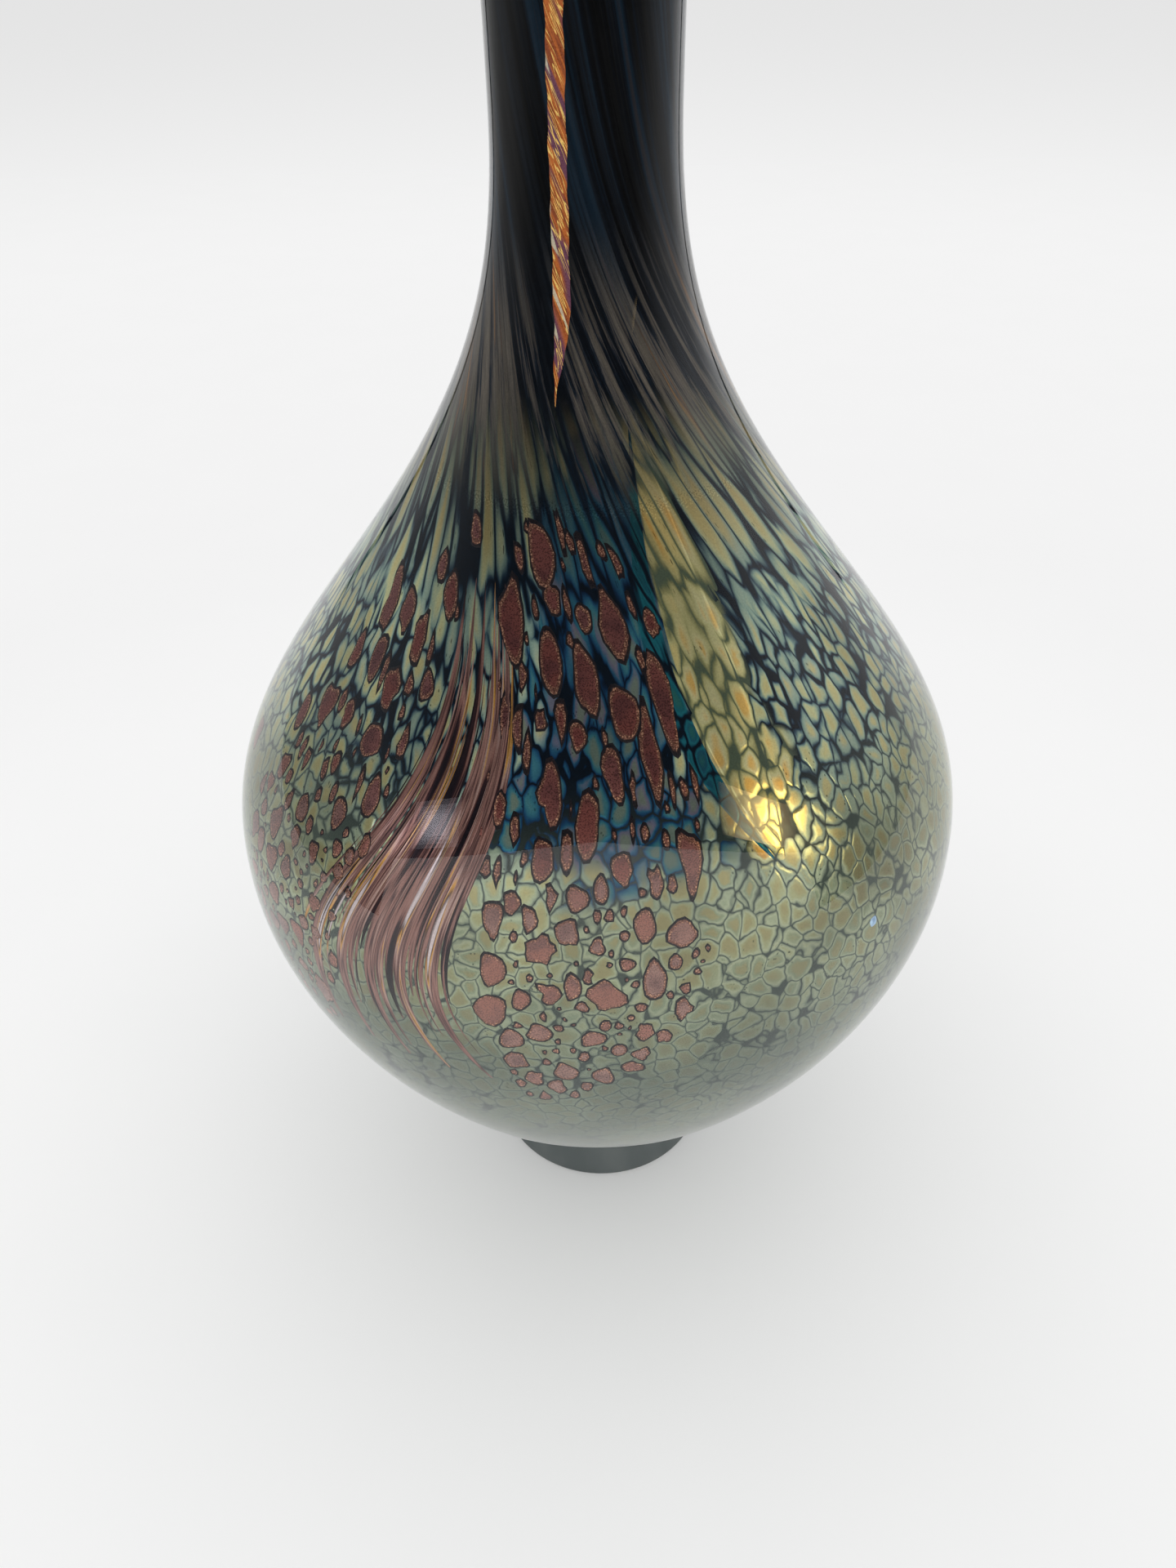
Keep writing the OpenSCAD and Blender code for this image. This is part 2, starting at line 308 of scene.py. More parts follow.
class Sheet:
    """A material's node tree, with a short call for each kind of node."""

    def __init__(self, tree: bpy.types.NodeTree) -> None:
        """Takes an empty node tree.

        Args:
            tree: The tree to fill.
        """
        self.tree = tree
        tree.nodes.clear()

    def add(self, kind: str, inputs: Optional[dict] = None,
            **settings: object) -> bpy.types.Node:
        """Adds a node and fills its sockets.

        Args:
            kind: The node's type, without its ShaderNode prefix.
            inputs: A value or an output socket for each named or numbered input.
            settings: Values of the node itself.

        Returns:
            The node.
        """
        node = self.tree.nodes.new("ShaderNode" + kind)
        for name, value in settings.items():
            setattr(node, name, value)
        for name, value in (inputs or {}).items():
            self.fill(node.inputs[name], value)
        return node

    def fill(self, socket: Socket, value: Value) -> None:
        """Links an output to a socket, or sets the socket's own value.

        Args:
            socket: The input to fill.
            value: An output socket, a number, a colour or a vector.
        """
        if isinstance(value, Socket):
            self.tree.links.new(value, socket)
        elif socket.type == "RGBA" and len(value) == 3:
            socket.default_value = (*value, 1)
        else:
            socket.default_value = value

    def math(self, operation: str, a: Value, b: Value = 0.0) -> Socket:
        """Adds a sum.

        Args:
            operation: The sum's name.
            a: First value.
            b: Second value.

        Returns:
            The output socket.
        """
        return self.add("Math", {0: a, 1: b}, operation=operation).outputs[0]

    def times(self, a: Value, b: Value) -> Socket:
        """Multiplies two values."""
        return self.math("MULTIPLY", a, b)

    def plus(self, a: Value, b: Value) -> Socket:
        """Adds two values."""
        return self.math("ADD", a, b)

    def minus(self, a: Value, b: Value) -> Socket:
        """Takes the second value from the first."""
        return self.math("SUBTRACT", a, b)

    def weigh(self, a: Value, b: Value, share: float) -> Socket:
        """Adds a share of the first value to the rest of the second."""
        return self.plus(self.times(a, share), self.times(b, 1 - share))

    def vector(self, operation: str, a: Value, b: Value) -> Socket:
        """Adds a vector sum.

        Args:
            operation: The sum's name.
            a: First vector.
            b: Second vector, or the factor of a scaling.

        Returns:
            The output socket.
        """
        second = "Scale" if operation == "SCALE" else 1
        return self.add("VectorMath", {0: a, second: b}, operation=operation).outputs[0]

    def mix(self, share: Value, a: Value, b: Value, kind: str = "MIX") -> Socket:
        """Mixes two colours.

        Args:
            share: How much of the second colour is taken.
            a: First colour.
            b: Second colour.
            kind: How they mix.

        Returns:
            The output socket.
        """
        node = self.add("Mix", data_type="RGBA", blend_type=kind)
        for index, value in ((0, share), (6, a), (7, b)):
            self.fill(node.inputs[index], value)
        return node.outputs[2]

    def tint(self, colour: Value, by: Value, share: float = 1.0) -> Socket:
        """Multiplies a colour by another, as far as the share says."""
        return self.mix(share, colour, by, "MULTIPLY")

    def ease(self, value: Value, low: Value, high: Value, start: Value = 0.0,
             end: Value = 1.0) -> Socket:
        """Eases a value from start at low to end at high.

        Args:
            value: The value to read.
            low: Where the change starts.
            high: Where the change ends.
            start: Result below low.
            end: Result above high.

        Returns:
            The output socket.
        """
        node = self.add("MapRange", interpolation_type="SMOOTHSTEP")
        for index, v in enumerate((value, low, high, start, end)):
            self.fill(node.inputs[index], v)
        return node.outputs[0]

    def noise(self, vector: Value, size: float, detail: float = 2.0, rough: float = 0.5,
              output: str = "Fac") -> Socket:
        """Adds soft noise.

        Args:
            vector: The coordinates to read, in millimetres.
            size: Size of a blot, in millimetres.
            detail: Number of finer layers.
            rough: Strength of the finer layers.
            output: Fac for one number, Color for three.

        Returns:
            The output socket, from 0 to 1.
        """
        return self.add("TexNoise", {"Vector": vector, "Scale": 1 / size, "Detail": detail,
                                     "Roughness": rough}).outputs[output]

    def ramp(self, value: Value, stops: Stops) -> Socket:
        """Turns a value into colours.

        Args:
            value: The value to read.
            stops: Place and colour of each stop.

        Returns:
            The output socket.
        """
        node = self.add("ValToRGB", {0: value})
        band = node.color_ramp
        while len(band.elements) < len(stops):
            band.elements.new(1.0)
        for element, (place, colour) in zip(band.elements, stops):
            element.position = place
            element.color = (*colour, 1)
        return node.outputs[0]

    def attribute(self, name: str, output: str = "Fac") -> Socket:
        """Reads a value that the mesh carries."""
        return self.add("Attribute", attribute_name=name).outputs[output]

    def split(self, vector: Value) -> Sequence[Socket]:
        """Splits a vector into its three numbers."""
        return self.add("SeparateXYZ", {0: vector}).outputs

    def place(self) -> Socket:
        """Gives the place on the piece, in millimetres."""
        objects = self.add("TexCoord").outputs["Object"]
        return self.vector("SCALE", objects, 1 / MM)

    def finish(self, kind: str, inputs: dict, output: str = "Material") -> None:
        """Adds the last shader and connects it to the output node."""
        self.add("Output" + output, {"Surface": self.add(kind, inputs).outputs[0]})


def new_material(name: str) -> tuple[bpy.types.Material, Sheet]:
    """Makes an empty material.

    Args:
        name: Its name.

    Returns:
        The material and its sheet.
    """
    material = bpy.data.materials.new(name)
    material.use_nodes = True
    return material, Sheet(material.node_tree)


@dataclass(frozen=True)
class SpotPalette:
    """The colours of one kind of spot, from its fringe to its middle."""

    fringe: Colour
    rim: Colour
    body: Colour
    middle: Colour
    other_body: Colour


# The belly and shoulder palettes change at the line where the glass turns from mirroring the
# white card to mirroring the dark room: their difference is partly the glass's own colour and
# partly painted light, with paler fringes and rims below for the card's reflection.
BELLY = SpotPalette(fringe=(0.17, 0.2, 0.14), rim=(0.36, 0.39, 0.25),
                    body=(0.3, 0.305, 0.16), middle=(0.27, 0.235, 0.11),
                    other_body=(0.23, 0.27, 0.17))
SHOULDER = SpotPalette(fringe=(0.012, 0.045, 0.09), rim=(0.2, 0.29, 0.24),
                       body=(0.42, 0.44, 0.25), middle=(0.46, 0.39, 0.17),
                       other_body=(0.27, 0.34, 0.27))
# Painted sheen: teal and violet spots for the front column, standing in for lustre that mirrors
# the dark room in front.
PAINTED_SHEEN = SpotPalette(fringe=(0.004, 0.03, 0.09), rim=(0.02, 0.09, 0.15), body=(0.035, 0.14, 0.17),
                   middle=(0.13, 0.16, 0.12), other_body=(0.12, 0.11, 0.16))
GOLD = SpotPalette(fringe=(0.2, 0.2, 0.09), rim=(0.5, 0.47, 0.22), body=(0.64, 0.53, 0.22),
                   middle=(0.68, 0.4, 0.1), other_body=(0.58, 0.55, 0.3))
TEAL = SpotPalette(fringe=(0.003, 0.03, 0.055), rim=(0.012, 0.12, 0.15),
                   body=(0.007, 0.085, 0.11), middle=(0.02, 0.1, 0.09),
                   other_body=(0.01, 0.06, 0.1))


@dataclass(frozen=True)
class LustreFinish:
    """Lustred spots in a dark net, which run out into streaks up the neck, with painted
    reflection, sheen and shade in some zones.
    """

    name: str
    palette: Optional[SpotPalette] = None
    cell: float = 4.2
    long_cell: float = 6.8
    randomness: float = 0.85
    wobble: float = 6
    wobble_reach: float = 4
    net: Colour = (0.0015, 0.004, 0.008)
    # Painted reflection: the lighter net below the shoulder line, for the white card that the
    # lower body mirrors.
    painted_reflection_net: Colour = (0.045, 0.06, 0.048)
    gold_net: Colour = (0.045, 0.06, 0.04)
    grey_net: Colour = (0.035, 0.05, 0.045)
    grey_dark: Colour = (0.062, 0.088, 0.08)
    grey_light: Colour = (0.105, 0.138, 0.12)
    grey_share: float = 0.68
    grey_noise: Numbers = (6, 3)
    drawn: Colour = (0.6, 0.52, 0.46)
    metal: float = 0.4
    specular: float = 0.1
    dome: float = 0.12
    stray: float = 0.5
    belly_ease: Numbers = (110, 156, 1, 0)
    shoulder_ease: Numbers = (146, 178)
    painted_reflection_ease: Numbers = (148, 178)
    long_ease: Numbers = (190, 206)
    drawn_ease: Numbers = (194, 224)
    pulled_ease: Numbers = (214, 238)
    blot_noise: Numbers = (13,)
    blot_ease: Numbers = (0.36, 0.66, 0.4, 1.3)
    gap_ease: Numbers = (150, 185, 0.012, 0.07)
    lone_ease: Numbers = (0.94, 0.96)
    lone_gap_ease: Numbers = (160, 180, 0, 0.3)
    gold_gap_ease: Numbers = (0, 1, 1, 0.35)
    corner_ease: Numbers = (150, 172, 0.82, 0.74)
    spot_start_ease: Numbers = (150, 172, 0, -0.03)
    spot_end_ease: Numbers = (150, 220, 0.05, 0.12)
    fate_ease: Numbers = (0.3, 0.7)
    middle_ease: Numbers = (0.22, 0.5, 0, 0.85)
    rim_ease: Numbers = (0.1, 0.28)
    fringe_ease: Numbers = (0, 0.16)
    gold_metal_ease: Numbers = (164, 176, 0.85, 0.45)
    painted_sheen_ease: Numbers = (0.55, 0.8)
    gold_ease: Numbers = (0.62, 0.8)
    patch_noise: Numbers = (26, 1)
    patch_ease: Numbers = (0.35, 0.65, 0.78, 1.2)
    speck: float = 1.1
    speck_share: float = 0.75
    speck_ease: Numbers = (0.14, 0.22, 1, 0)
    speck_zone_noise: Numbers = (9,)
    speck_zone_ease: Numbers = (0.52, 0.62)
    grain_noise: Numbers = (0.35, 3)
    grain_ease: Numbers = (0.3, 0.7, 0.72, 1.2)
    grain_share: float = 0.35
    grain_rough: float = 0.08
    rough_ease: Numbers = (190, 250, 0.1, 0.4)
    dome_ease: Numbers = (200, 236, 0.35, 0)
    dome_edge_ease: Numbers = (0, 0.3)
    fine_noise: Numbers = (4.8, 5, 0.66)
    broad_noise: Numbers = (17, 2)
    fine_share: float = 0.55
    top_fine_share: float = 0.3
    root_ease: Numbers = (212, 234)
    top_ease: Numbers = (240, 268)
    low_stops: Stops = (
        (0.435, (0.002, 0.005, 0.012)), (0.468, (0.008, 0.018, 0.028)),
        (0.486, (0.1, 0.096, 0.07)), (0.55, (0.2, 0.185, 0.115)),
        (0.6, (0.11, 0.108, 0.1)), (0.66, (0.26, 0.15, 0.055)))
    root_stops: Stops = (
        (0.44, (0.001, 0.003, 0.007)), (0.468, (0.004, 0.01, 0.02)),
        (0.484, (0.05, 0.043, 0.04)), (0.54, (0.11, 0.092, 0.072)),
        (0.58, (0.045, 0.043, 0.045)), (0.64, (0.2, 0.105, 0.042)))
    top_stops: Stops = (
        (0.42, (0.0003, 0.0006, 0.0012)), (0.5, (0.0008, 0.003, 0.007)),
        (0.57, (0.0025, 0.013, 0.026)), (0.66, (0.016, 0.015, 0.018)))

    def colours(self, sheet: Sheet, palette: SpotPalette, edge: Socket,
                fate: Socket) -> Socket:
        """Colours the inside of the spots.

        Args:
            sheet: The material's sheet.
            palette: The colours.
            edge: Distance from the spot's edge.
            fate: A number of its own for each spot.

        Returns:
            The colour socket.
        """
        body = sheet.mix(sheet.ease(fate, *self.fate_ease), palette.body, palette.other_body)
        middle = sheet.mix(sheet.ease(edge, *self.middle_ease), body, palette.middle)
        rim = sheet.mix(sheet.ease(edge, *self.rim_ease), palette.rim, middle)
        return sheet.mix(sheet.ease(edge, *self.fringe_ease), palette.fringe, rim)

    def streaks(self, sheet: Sheet, flow: Socket, height: Socket) -> Socket:
        """Colours the neck, where the spots are drawn out into streaks.

        Args:
            sheet: The material's sheet.
            flow: Where the grains lay.
            height: The height.

        Returns:
            The colour socket.
        """
        fine = sheet.noise(flow, *self.fine_noise)
        broad = sheet.noise(flow, *self.broad_noise)
        tone = sheet.weigh(fine, broad, self.fine_share)
        root = sheet.mix(sheet.ease(height, *self.root_ease), sheet.ramp(tone, self.low_stops),
                         sheet.ramp(tone, self.root_stops))
        top = sheet.ramp(sheet.weigh(fine, broad, self.top_fine_share), self.top_stops)
        return sheet.mix(sheet.ease(height, *self.top_ease), root, top)

    def cells(self, sheet: Sheet, spots: Socket, size: float) -> tuple[Socket, Socket, Socket]:
        """Packs cells of one size.

        Args:
            sheet: The material's sheet.
            spots: Where the grains lay, with a wobble.
            size: Size of a cell.

        Returns:
            The distances to the nearest and the next cell, and the cell's own colour.
        """
        sizes = {"Vector": spots, "Scale": 1 / size, "Randomness": self.randomness}
        first = sheet.add("TexVoronoi", sizes).outputs
        second = sheet.add("TexVoronoi", sizes, feature="F2").outputs
        return first["Distance"], second["Distance"], first["Color"]

    def edges(self, sheet: Sheet, flow: Socket, spots: Socket,
              height: Socket) -> tuple[Socket, Sequence[Socket]]:
        """Packs the spots, which are larger cells where the glass is drawn out.

        Args:
            sheet: The material's sheet.
            flow: Where the grains lay.
            spots: The same, with a wobble.
            height: The height.

        Returns:
            The distance from the spot's edge, and three chances of each spot's own.
        """
        long = sheet.ease(height, *self.long_ease)
        first, second, fates = (
            sheet.mix(long, small, big) for small, big in zip(
                self.cells(sheet, spots, self.cell), self.cells(sheet, spots, self.long_cell)))
        chances = sheet.add("SeparateColor", {0: fates}).outputs
        gap = sheet.times(sheet.ease(sheet.noise(flow, *self.blot_noise), *self.blot_ease),
                          sheet.ease(height, *self.gap_ease))
        lone = sheet.times(sheet.ease(chances[2], *self.lone_ease),
                           sheet.ease(height, *self.lone_gap_ease))
        golden = 1.0 if self.palette is GOLD else sheet.attribute("gold")
        gap = sheet.times(sheet.plus(gap, lone), sheet.ease(golden, *self.gold_gap_ease))
        edge = sheet.minus(sheet.minus(second, first), gap)
        corner = sheet.minus(sheet.ease(height, *self.corner_ease), first)
        return sheet.math("MINIMUM", edge, corner), chances

    def lustre(self, sheet: Sheet, height: Socket, edge: Socket,
               chances: Sequence[Socket]) -> tuple[Value, Value, Value]:
        """Picks the colours by the zone that a spot lies in.

        Args:
            sheet: The material's sheet.
            height: The height.
            edge: Distance from the spot's edge.
            chances: Three numbers of each spot's own.

        Returns:
            The spot's colour, its share of metal and the net's colour.
        """
        fate, other, _ = chances
        bright = sheet.ease(height, *self.gold_metal_ease)
        if self.palette is GOLD:
            return self.colours(sheet, GOLD, edge, fate), bright, self.gold_net
        if self.palette:
            return self.colours(sheet, self.palette, edge, fate), self.metal, self.net
        belly, shoulder, cool, gold = (self.colours(sheet, palette, edge, fate)
                                       for palette in (BELLY, SHOULDER, PAINTED_SHEEN, GOLD))
        # Partly painted light: the spots change from the belly palette to the shoulder palette
        # at the same line as the painted reflection in the net.
        own = sheet.mix(sheet.ease(height, *self.shoulder_ease), belly, shoulder)
        # The cool zone's teal and violet spots are painted sheen, for lustre that mirrors the
        # dark room; the gold zone is the glass's own gold.
        painted_sheen_mask, gilt = (
            sheet.ease(sheet.plus(sheet.attribute(zone), sheet.times(chance, self.stray)), *ends)
            for zone, chance, ends in (("cool", other, self.painted_sheen_ease),
                                       ("gold", fate, self.gold_ease)))
        own = sheet.mix(gilt, sheet.mix(painted_sheen_mask, own, cool), gold)
        return (own, sheet.ease(gilt, 0.0, 1.0, self.metal, bright),
                sheet.mix(gilt, self.net, self.gold_net))

    def make(self) -> bpy.types.Material:
        """Makes the material.

        Returns:
            The material.
        """
        material, sheet = new_material(self.name)
        flow = sheet.attribute("flow", "Vector")
        height = sheet.split(sheet.place())[2]
        shift = sheet.vector("SUBTRACT", sheet.noise(flow, self.wobble, output="Color"),
                             (0.5, 0.5, 0.5))
        spots = sheet.vector("ADD", flow, sheet.vector("SCALE", shift, self.wobble_reach))
        edge, chances = self.edges(sheet, flow, spots, height)
        own, metal, dark_net = self.lustre(sheet, height, edge, chances)
        own = sheet.tint(own, sheet.ease(sheet.noise(flow, *self.patch_noise),
                                         *self.patch_ease))
        own = sheet.mix(sheet.ease(height, *self.drawn_ease), own, sheet.tint(own, self.drawn))
        low = sheet.ease(height, *self.belly_ease)
        grey = sheet.mix(sheet.noise(flow, *self.grey_noise), self.grey_dark, self.grey_light)
        own = sheet.mix(sheet.times(low, self.grey_share), own, grey)
        specks = sheet.add("TexVoronoi", {"Vector": spots, "Scale": 1 / self.speck})
        zone = sheet.ease(sheet.noise(flow, *self.speck_zone_noise), *self.speck_zone_ease)
        speck = sheet.times(sheet.ease(specks.outputs["Distance"], *self.speck_ease), zone)
        own = sheet.mix(sheet.times(speck, self.speck_share), own, self.net)
        # Painted reflection: the net is lightened below the shoulder line, for the white card
        # that the lower body mirrors, and stays dark above it.
        net = sheet.mix(sheet.ease(height, *self.painted_reflection_ease), self.painted_reflection_net, dark_net)
        spot = sheet.ease(edge, sheet.ease(height, *self.spot_start_ease),
                          sheet.ease(height, *self.spot_end_ease))
        colour = sheet.mix(spot, sheet.mix(low, net, self.grey_net), own)
        colour = sheet.mix(sheet.ease(height, *self.pulled_ease), colour,
                           self.streaks(sheet, flow, height))
        if not self.palette:
            # Painted shade: the spotted layer darkens towards the net's colour in the shade
            # zone, left of the front at the neck root.
            colour = sheet.mix(sheet.attribute("shade"), colour, self.net)
        grain = sheet.noise(sheet.place(), *self.grain_noise)
        colour = sheet.tint(colour, sheet.ease(grain, *self.grain_ease), self.grain_share)
        rough = sheet.plus(sheet.ease(height, *self.rough_ease),
                           sheet.times(grain, self.grain_rough))
        domes = sheet.add("Bump", {"Strength": sheet.ease(height, *self.dome_ease),
                                   "Distance": self.dome * MM,
                                   "Height": sheet.ease(edge, *self.dome_edge_ease)})
        sheet.finish("BsdfPrincipled", {
            "Base Color": colour, "Metallic": sheet.times(spot, metal), "Roughness": rough,
            "Specular IOR Level": self.specular, "Normal": domes.outputs[0]})
        return material


@dataclass(frozen=True)
class CopperFinish:
    """Copper glass: a mauve-brown middle, a sparkling rim and a dark outline, with painted shade
    on the higher chips.
    """

    name: str
    middle: Colour = (0.275, 0.155, 0.13)
    warm: Colour = (0.275, 0.12, 0.092)
    dark: Colour = (0.14, 0.075, 0.07)
    rim: Colour = (0.17, 0.075, 0.055)
    spark: Colour = (0.62, 0.34, 0.21)
    outline: Colour = (0.008, 0.006, 0.008)
    # Painted shade: the tint for the chips above the shoulder line.
    shade: Colour = (0.7, 0.5, 0.56)
    ragged: float = 0.4
    ragged_noise: Numbers = (0.9, 3)
    warm_ease: Numbers = (0.3, 0.7)
    dark_noise: Numbers = (5, 1)
    dark_ease: Numbers = (0.45, 0.7, 0, 0.7)
    grain_noise: Numbers = (0.3, 3)
    grain_ease: Numbers = (0.3, 0.75, 0.65, 1.35)
    grain_share: float = 0.5
    painted_shade_ease: Numbers = (150, 172)
    spark_ease: Numbers = (0.56, 0.64)
    rim_ease: Numbers = (0.75, 1.05)
    outline_ease: Numbers = (0.42, 0.56)
    metal_ease: Numbers = (0.42, 0.6, 0, 0.68)
    rough_ease: Numbers = (0.3, 0.7, 0.22, 0.4)
    specular: float = 0.1

    def make(self) -> bpy.types.Material:
        """Makes the material. The rim attribute holds the distance from a chip's edge.

        Returns:
            The material.
        """
        material, sheet = new_material(self.name)
        place = sheet.place()
        ragged = sheet.times(sheet.minus(sheet.noise(place, *self.ragged_noise), 0.5),
                             self.ragged)
        edge = sheet.plus(sheet.attribute("rim"), ragged)
        middle = sheet.mix(sheet.ease(sheet.attribute("tone"), *self.warm_ease), self.middle,
                           self.warm)
        middle = sheet.mix(sheet.ease(sheet.noise(place, *self.dark_noise), *self.dark_ease),
                           middle, self.dark)
        grain = sheet.noise(place, *self.grain_noise)
        middle = sheet.tint(middle, sheet.ease(grain, *self.grain_ease), self.grain_share)
        # Painted shade: chips above the shoulder line are darkened and turned mauve, where the
        # glass mirrors the dark room.
        high = sheet.ease(sheet.split(place)[2], *self.painted_shade_ease)
        middle = sheet.mix(high, middle, sheet.tint(middle, self.shade))
        spark = sheet.mix(sheet.ease(grain, *self.spark_ease), self.rim, self.spark)
        colour = sheet.mix(sheet.ease(edge, *self.rim_ease), spark, middle)
        colour = sheet.mix(sheet.ease(edge, *self.outline_ease), self.outline, colour)
        sheet.finish("BsdfPrincipled", {
            "Base Color": colour, "Metallic": sheet.ease(edge, *self.metal_ease),
            "Roughness": sheet.ease(grain, *self.rough_ease),
            "Specular IOR Level": self.specular})
        return material


@dataclass(frozen=True)
class ThreadFinish:
    """Glass pulled into fine threads, read across and along each strand."""

    name: str
    stops: Stops = (
        (0.37, (0.01, 0.007, 0.01)), (0.43, (0.035, 0.016, 0.018)),
        (0.46, (0.2, 0.095, 0.08)), (0.5, (0.29, 0.155, 0.13)), (0.53, (0.06, 0.028, 0.03)),
        (0.56, (0.23, 0.12, 0.1)), (0.6, (0.4, 0.27, 0.24)), (0.63, (0.55, 0.28, 0.06)),
        (0.66, (0.08, 0.04, 0.03)), (0.7, (0.55, 0.46, 0.46)))
    outline: Colour = (0.015, 0.012, 0.014)
    band: float = 3.2
    thread: float = 0.95
    length: float = 40
    fine_noise: Numbers = (1, 2, 0.55)
    band_noise: Numbers = (1, 1)
    fine_share: float = 0.5
    tone_reach: float = 0.12
    outline_ease: Numbers = (0.06, 0.3)
    grain_noise: Numbers = (0.3, 3)
    grain_ease: Numbers = (0.3, 0.75, 0.7, 1.3)
    grain_share: float = 0.4
    metal_ease: Numbers = (0.35, 0.6, 0.35, 0.5)
    rough_ease: Numbers = (0.3, 0.7, 0.13, 0.26)
    specular: float = 0.1

    def make(self) -> bpy.types.Material:
        """Makes the material. The lane attribute holds the place across and along.

        Returns:
            The material.
        """
        material, sheet = new_material(self.name)
        lane = sheet.attribute("lane", "Vector")
        fine, bands = (
            sheet.noise(sheet.vector("MULTIPLY", lane, (1 / width, 1 / self.length, 1.0)), *look)
            for width, look in ((self.thread, self.fine_noise), (self.band, self.band_noise)))
        own = sheet.times(sheet.minus(sheet.attribute("tone"), 0.5), self.tone_reach)
        tone = sheet.plus(sheet.weigh(fine, bands, self.fine_share), own)
        colour = sheet.mix(sheet.ease(sheet.attribute("rim"), *self.outline_ease), self.outline,
                           sheet.ramp(tone, self.stops))
        grain = sheet.noise(sheet.place(), *self.grain_noise)
        colour = sheet.tint(colour, sheet.ease(grain, *self.grain_ease), self.grain_share)
        sheet.finish("BsdfPrincipled", {
            "Base Color": colour, "Metallic": sheet.ease(fine, *self.metal_ease),
            "Roughness": sheet.ease(grain, *self.rough_ease),
            "Specular IOR Level": self.specular})
        return material


@dataclass(frozen=True)
class RibbonFinish:
    """An orange and purple cane with thin gold threads, twisted as it was pulled."""

    name: str
    orange: Colour = (0.5, 0.13, 0.026)
    rust: Colour = (0.26, 0.06, 0.02)
    purple: Colour = (0.15, 0.05, 0.085)
    gold: Colour = (0.86, 0.54, 0.15)
    pale: Colour = (0.62, 0.55, 0.4)
    outline: Colour = (0.04, 0.016, 0.014)
    lean: float = 2.4
    across: float = 0.6
    rust_noise: Numbers = (1.6, 3)
    rust_ease: Numbers = (0.4, 0.62)
    purple_noise: Numbers = (8, 1)
    purple_ease: Numbers = (0.49, 0.57)
    thread_noise: Numbers = (1.1, 0)
    thread_ease: Numbers = (0.022, 0.06, 1, 0)
    gold_noise: Numbers = (5, 0)
    gold_ease: Numbers = (0.4, 0.48)
    pale_noise: Numbers = (3, 0)
    pale_ease: Numbers = (0.66, 0.7)
    pale_share: float = 0.8
    outline_ease: Numbers = (0, 0.3)
    grain_noise: Numbers = (0.3, 3)
    grain_ease: Numbers = (0.3, 0.75, 0.7, 1.25)
    grain_share: float = 0.4
    metal: float = 0.15
    rough_ease: Numbers = (0.3, 0.7, 0.25, 0.45)
    specular: float = 0.2

    def make(self) -> bpy.types.Material:
        """Makes the material.

        Returns:
            The material.
        """
        material, sheet = new_material(self.name)
        across, down, _ = sheet.split(sheet.attribute("lane", "Vector"))
        fibre = sheet.add("CombineXYZ", {
            0: sheet.times(across, self.across),
            1: sheet.minus(down, sheet.times(across, self.lean))}).outputs[0]
        rust, purple, gold, pale = (
            sheet.ease(sheet.noise(fibre, *look), *ends) for look, ends in (
                (self.rust_noise, self.rust_ease), (self.purple_noise, self.purple_ease),
                (self.gold_noise, self.gold_ease), (self.pale_noise, self.pale_ease)))
        line = sheet.math("ABSOLUTE", sheet.minus(sheet.noise(fibre, *self.thread_noise), 0.5))
        gold = sheet.times(sheet.ease(line, *self.thread_ease), gold)
        colour = sheet.mix(purple, sheet.mix(rust, self.orange, self.rust), self.purple)
        colour = sheet.mix(gold, colour, self.gold)
        colour = sheet.mix(sheet.times(pale, self.pale_share), colour, self.pale)
        colour = sheet.mix(sheet.ease(sheet.attribute("rim"), *self.outline_ease), self.outline,
                           colour)
        grain = sheet.noise(sheet.place(), *self.grain_noise)
        colour = sheet.tint(colour, sheet.ease(grain, *self.grain_ease), self.grain_share)
        sheet.finish("BsdfPrincipled", {
            "Base Color": colour, "Metallic": self.metal,
            "Roughness": sheet.ease(grain, *self.rough_ease),
            "Specular IOR Level": self.specular})
        return material


@dataclass(frozen=True)
class SolidGlassFinish:
    """Dark or opaque glass with faint cords in it, and a roughness that varies."""

    name: str
    deep: Colour
    light: Colour
    cord: float = 9
    cord_detail: float = 3
    cord_stretch: Colour = (1.0, 1.0, 0.35)
    cord_ease: Numbers = (0.35, 0.7)
    roughness: float = 0.06
    rough_gain: float = 1.6
    rough_noise: Numbers = (3, 3)
    specular: float = 0.5

    def make(self) -> bpy.types.Material:
        """Makes the material.

        Returns:
            The material.
        """
        material, sheet = new_material(self.name)
        place = sheet.place()
        cords = sheet.noise(sheet.vector("MULTIPLY", place, self.cord_stretch), self.cord,
                            self.cord_detail)
        rough = sheet.ease(sheet.noise(place, *self.rough_noise), *self.cord_ease,
                           self.roughness, self.roughness * self.rough_gain)
        sheet.finish("BsdfPrincipled", {
            "Base Color": sheet.mix(sheet.ease(cords, *self.cord_ease), self.deep, self.light),
            "Roughness": rough, "Specular IOR Level": self.specular})
        return material


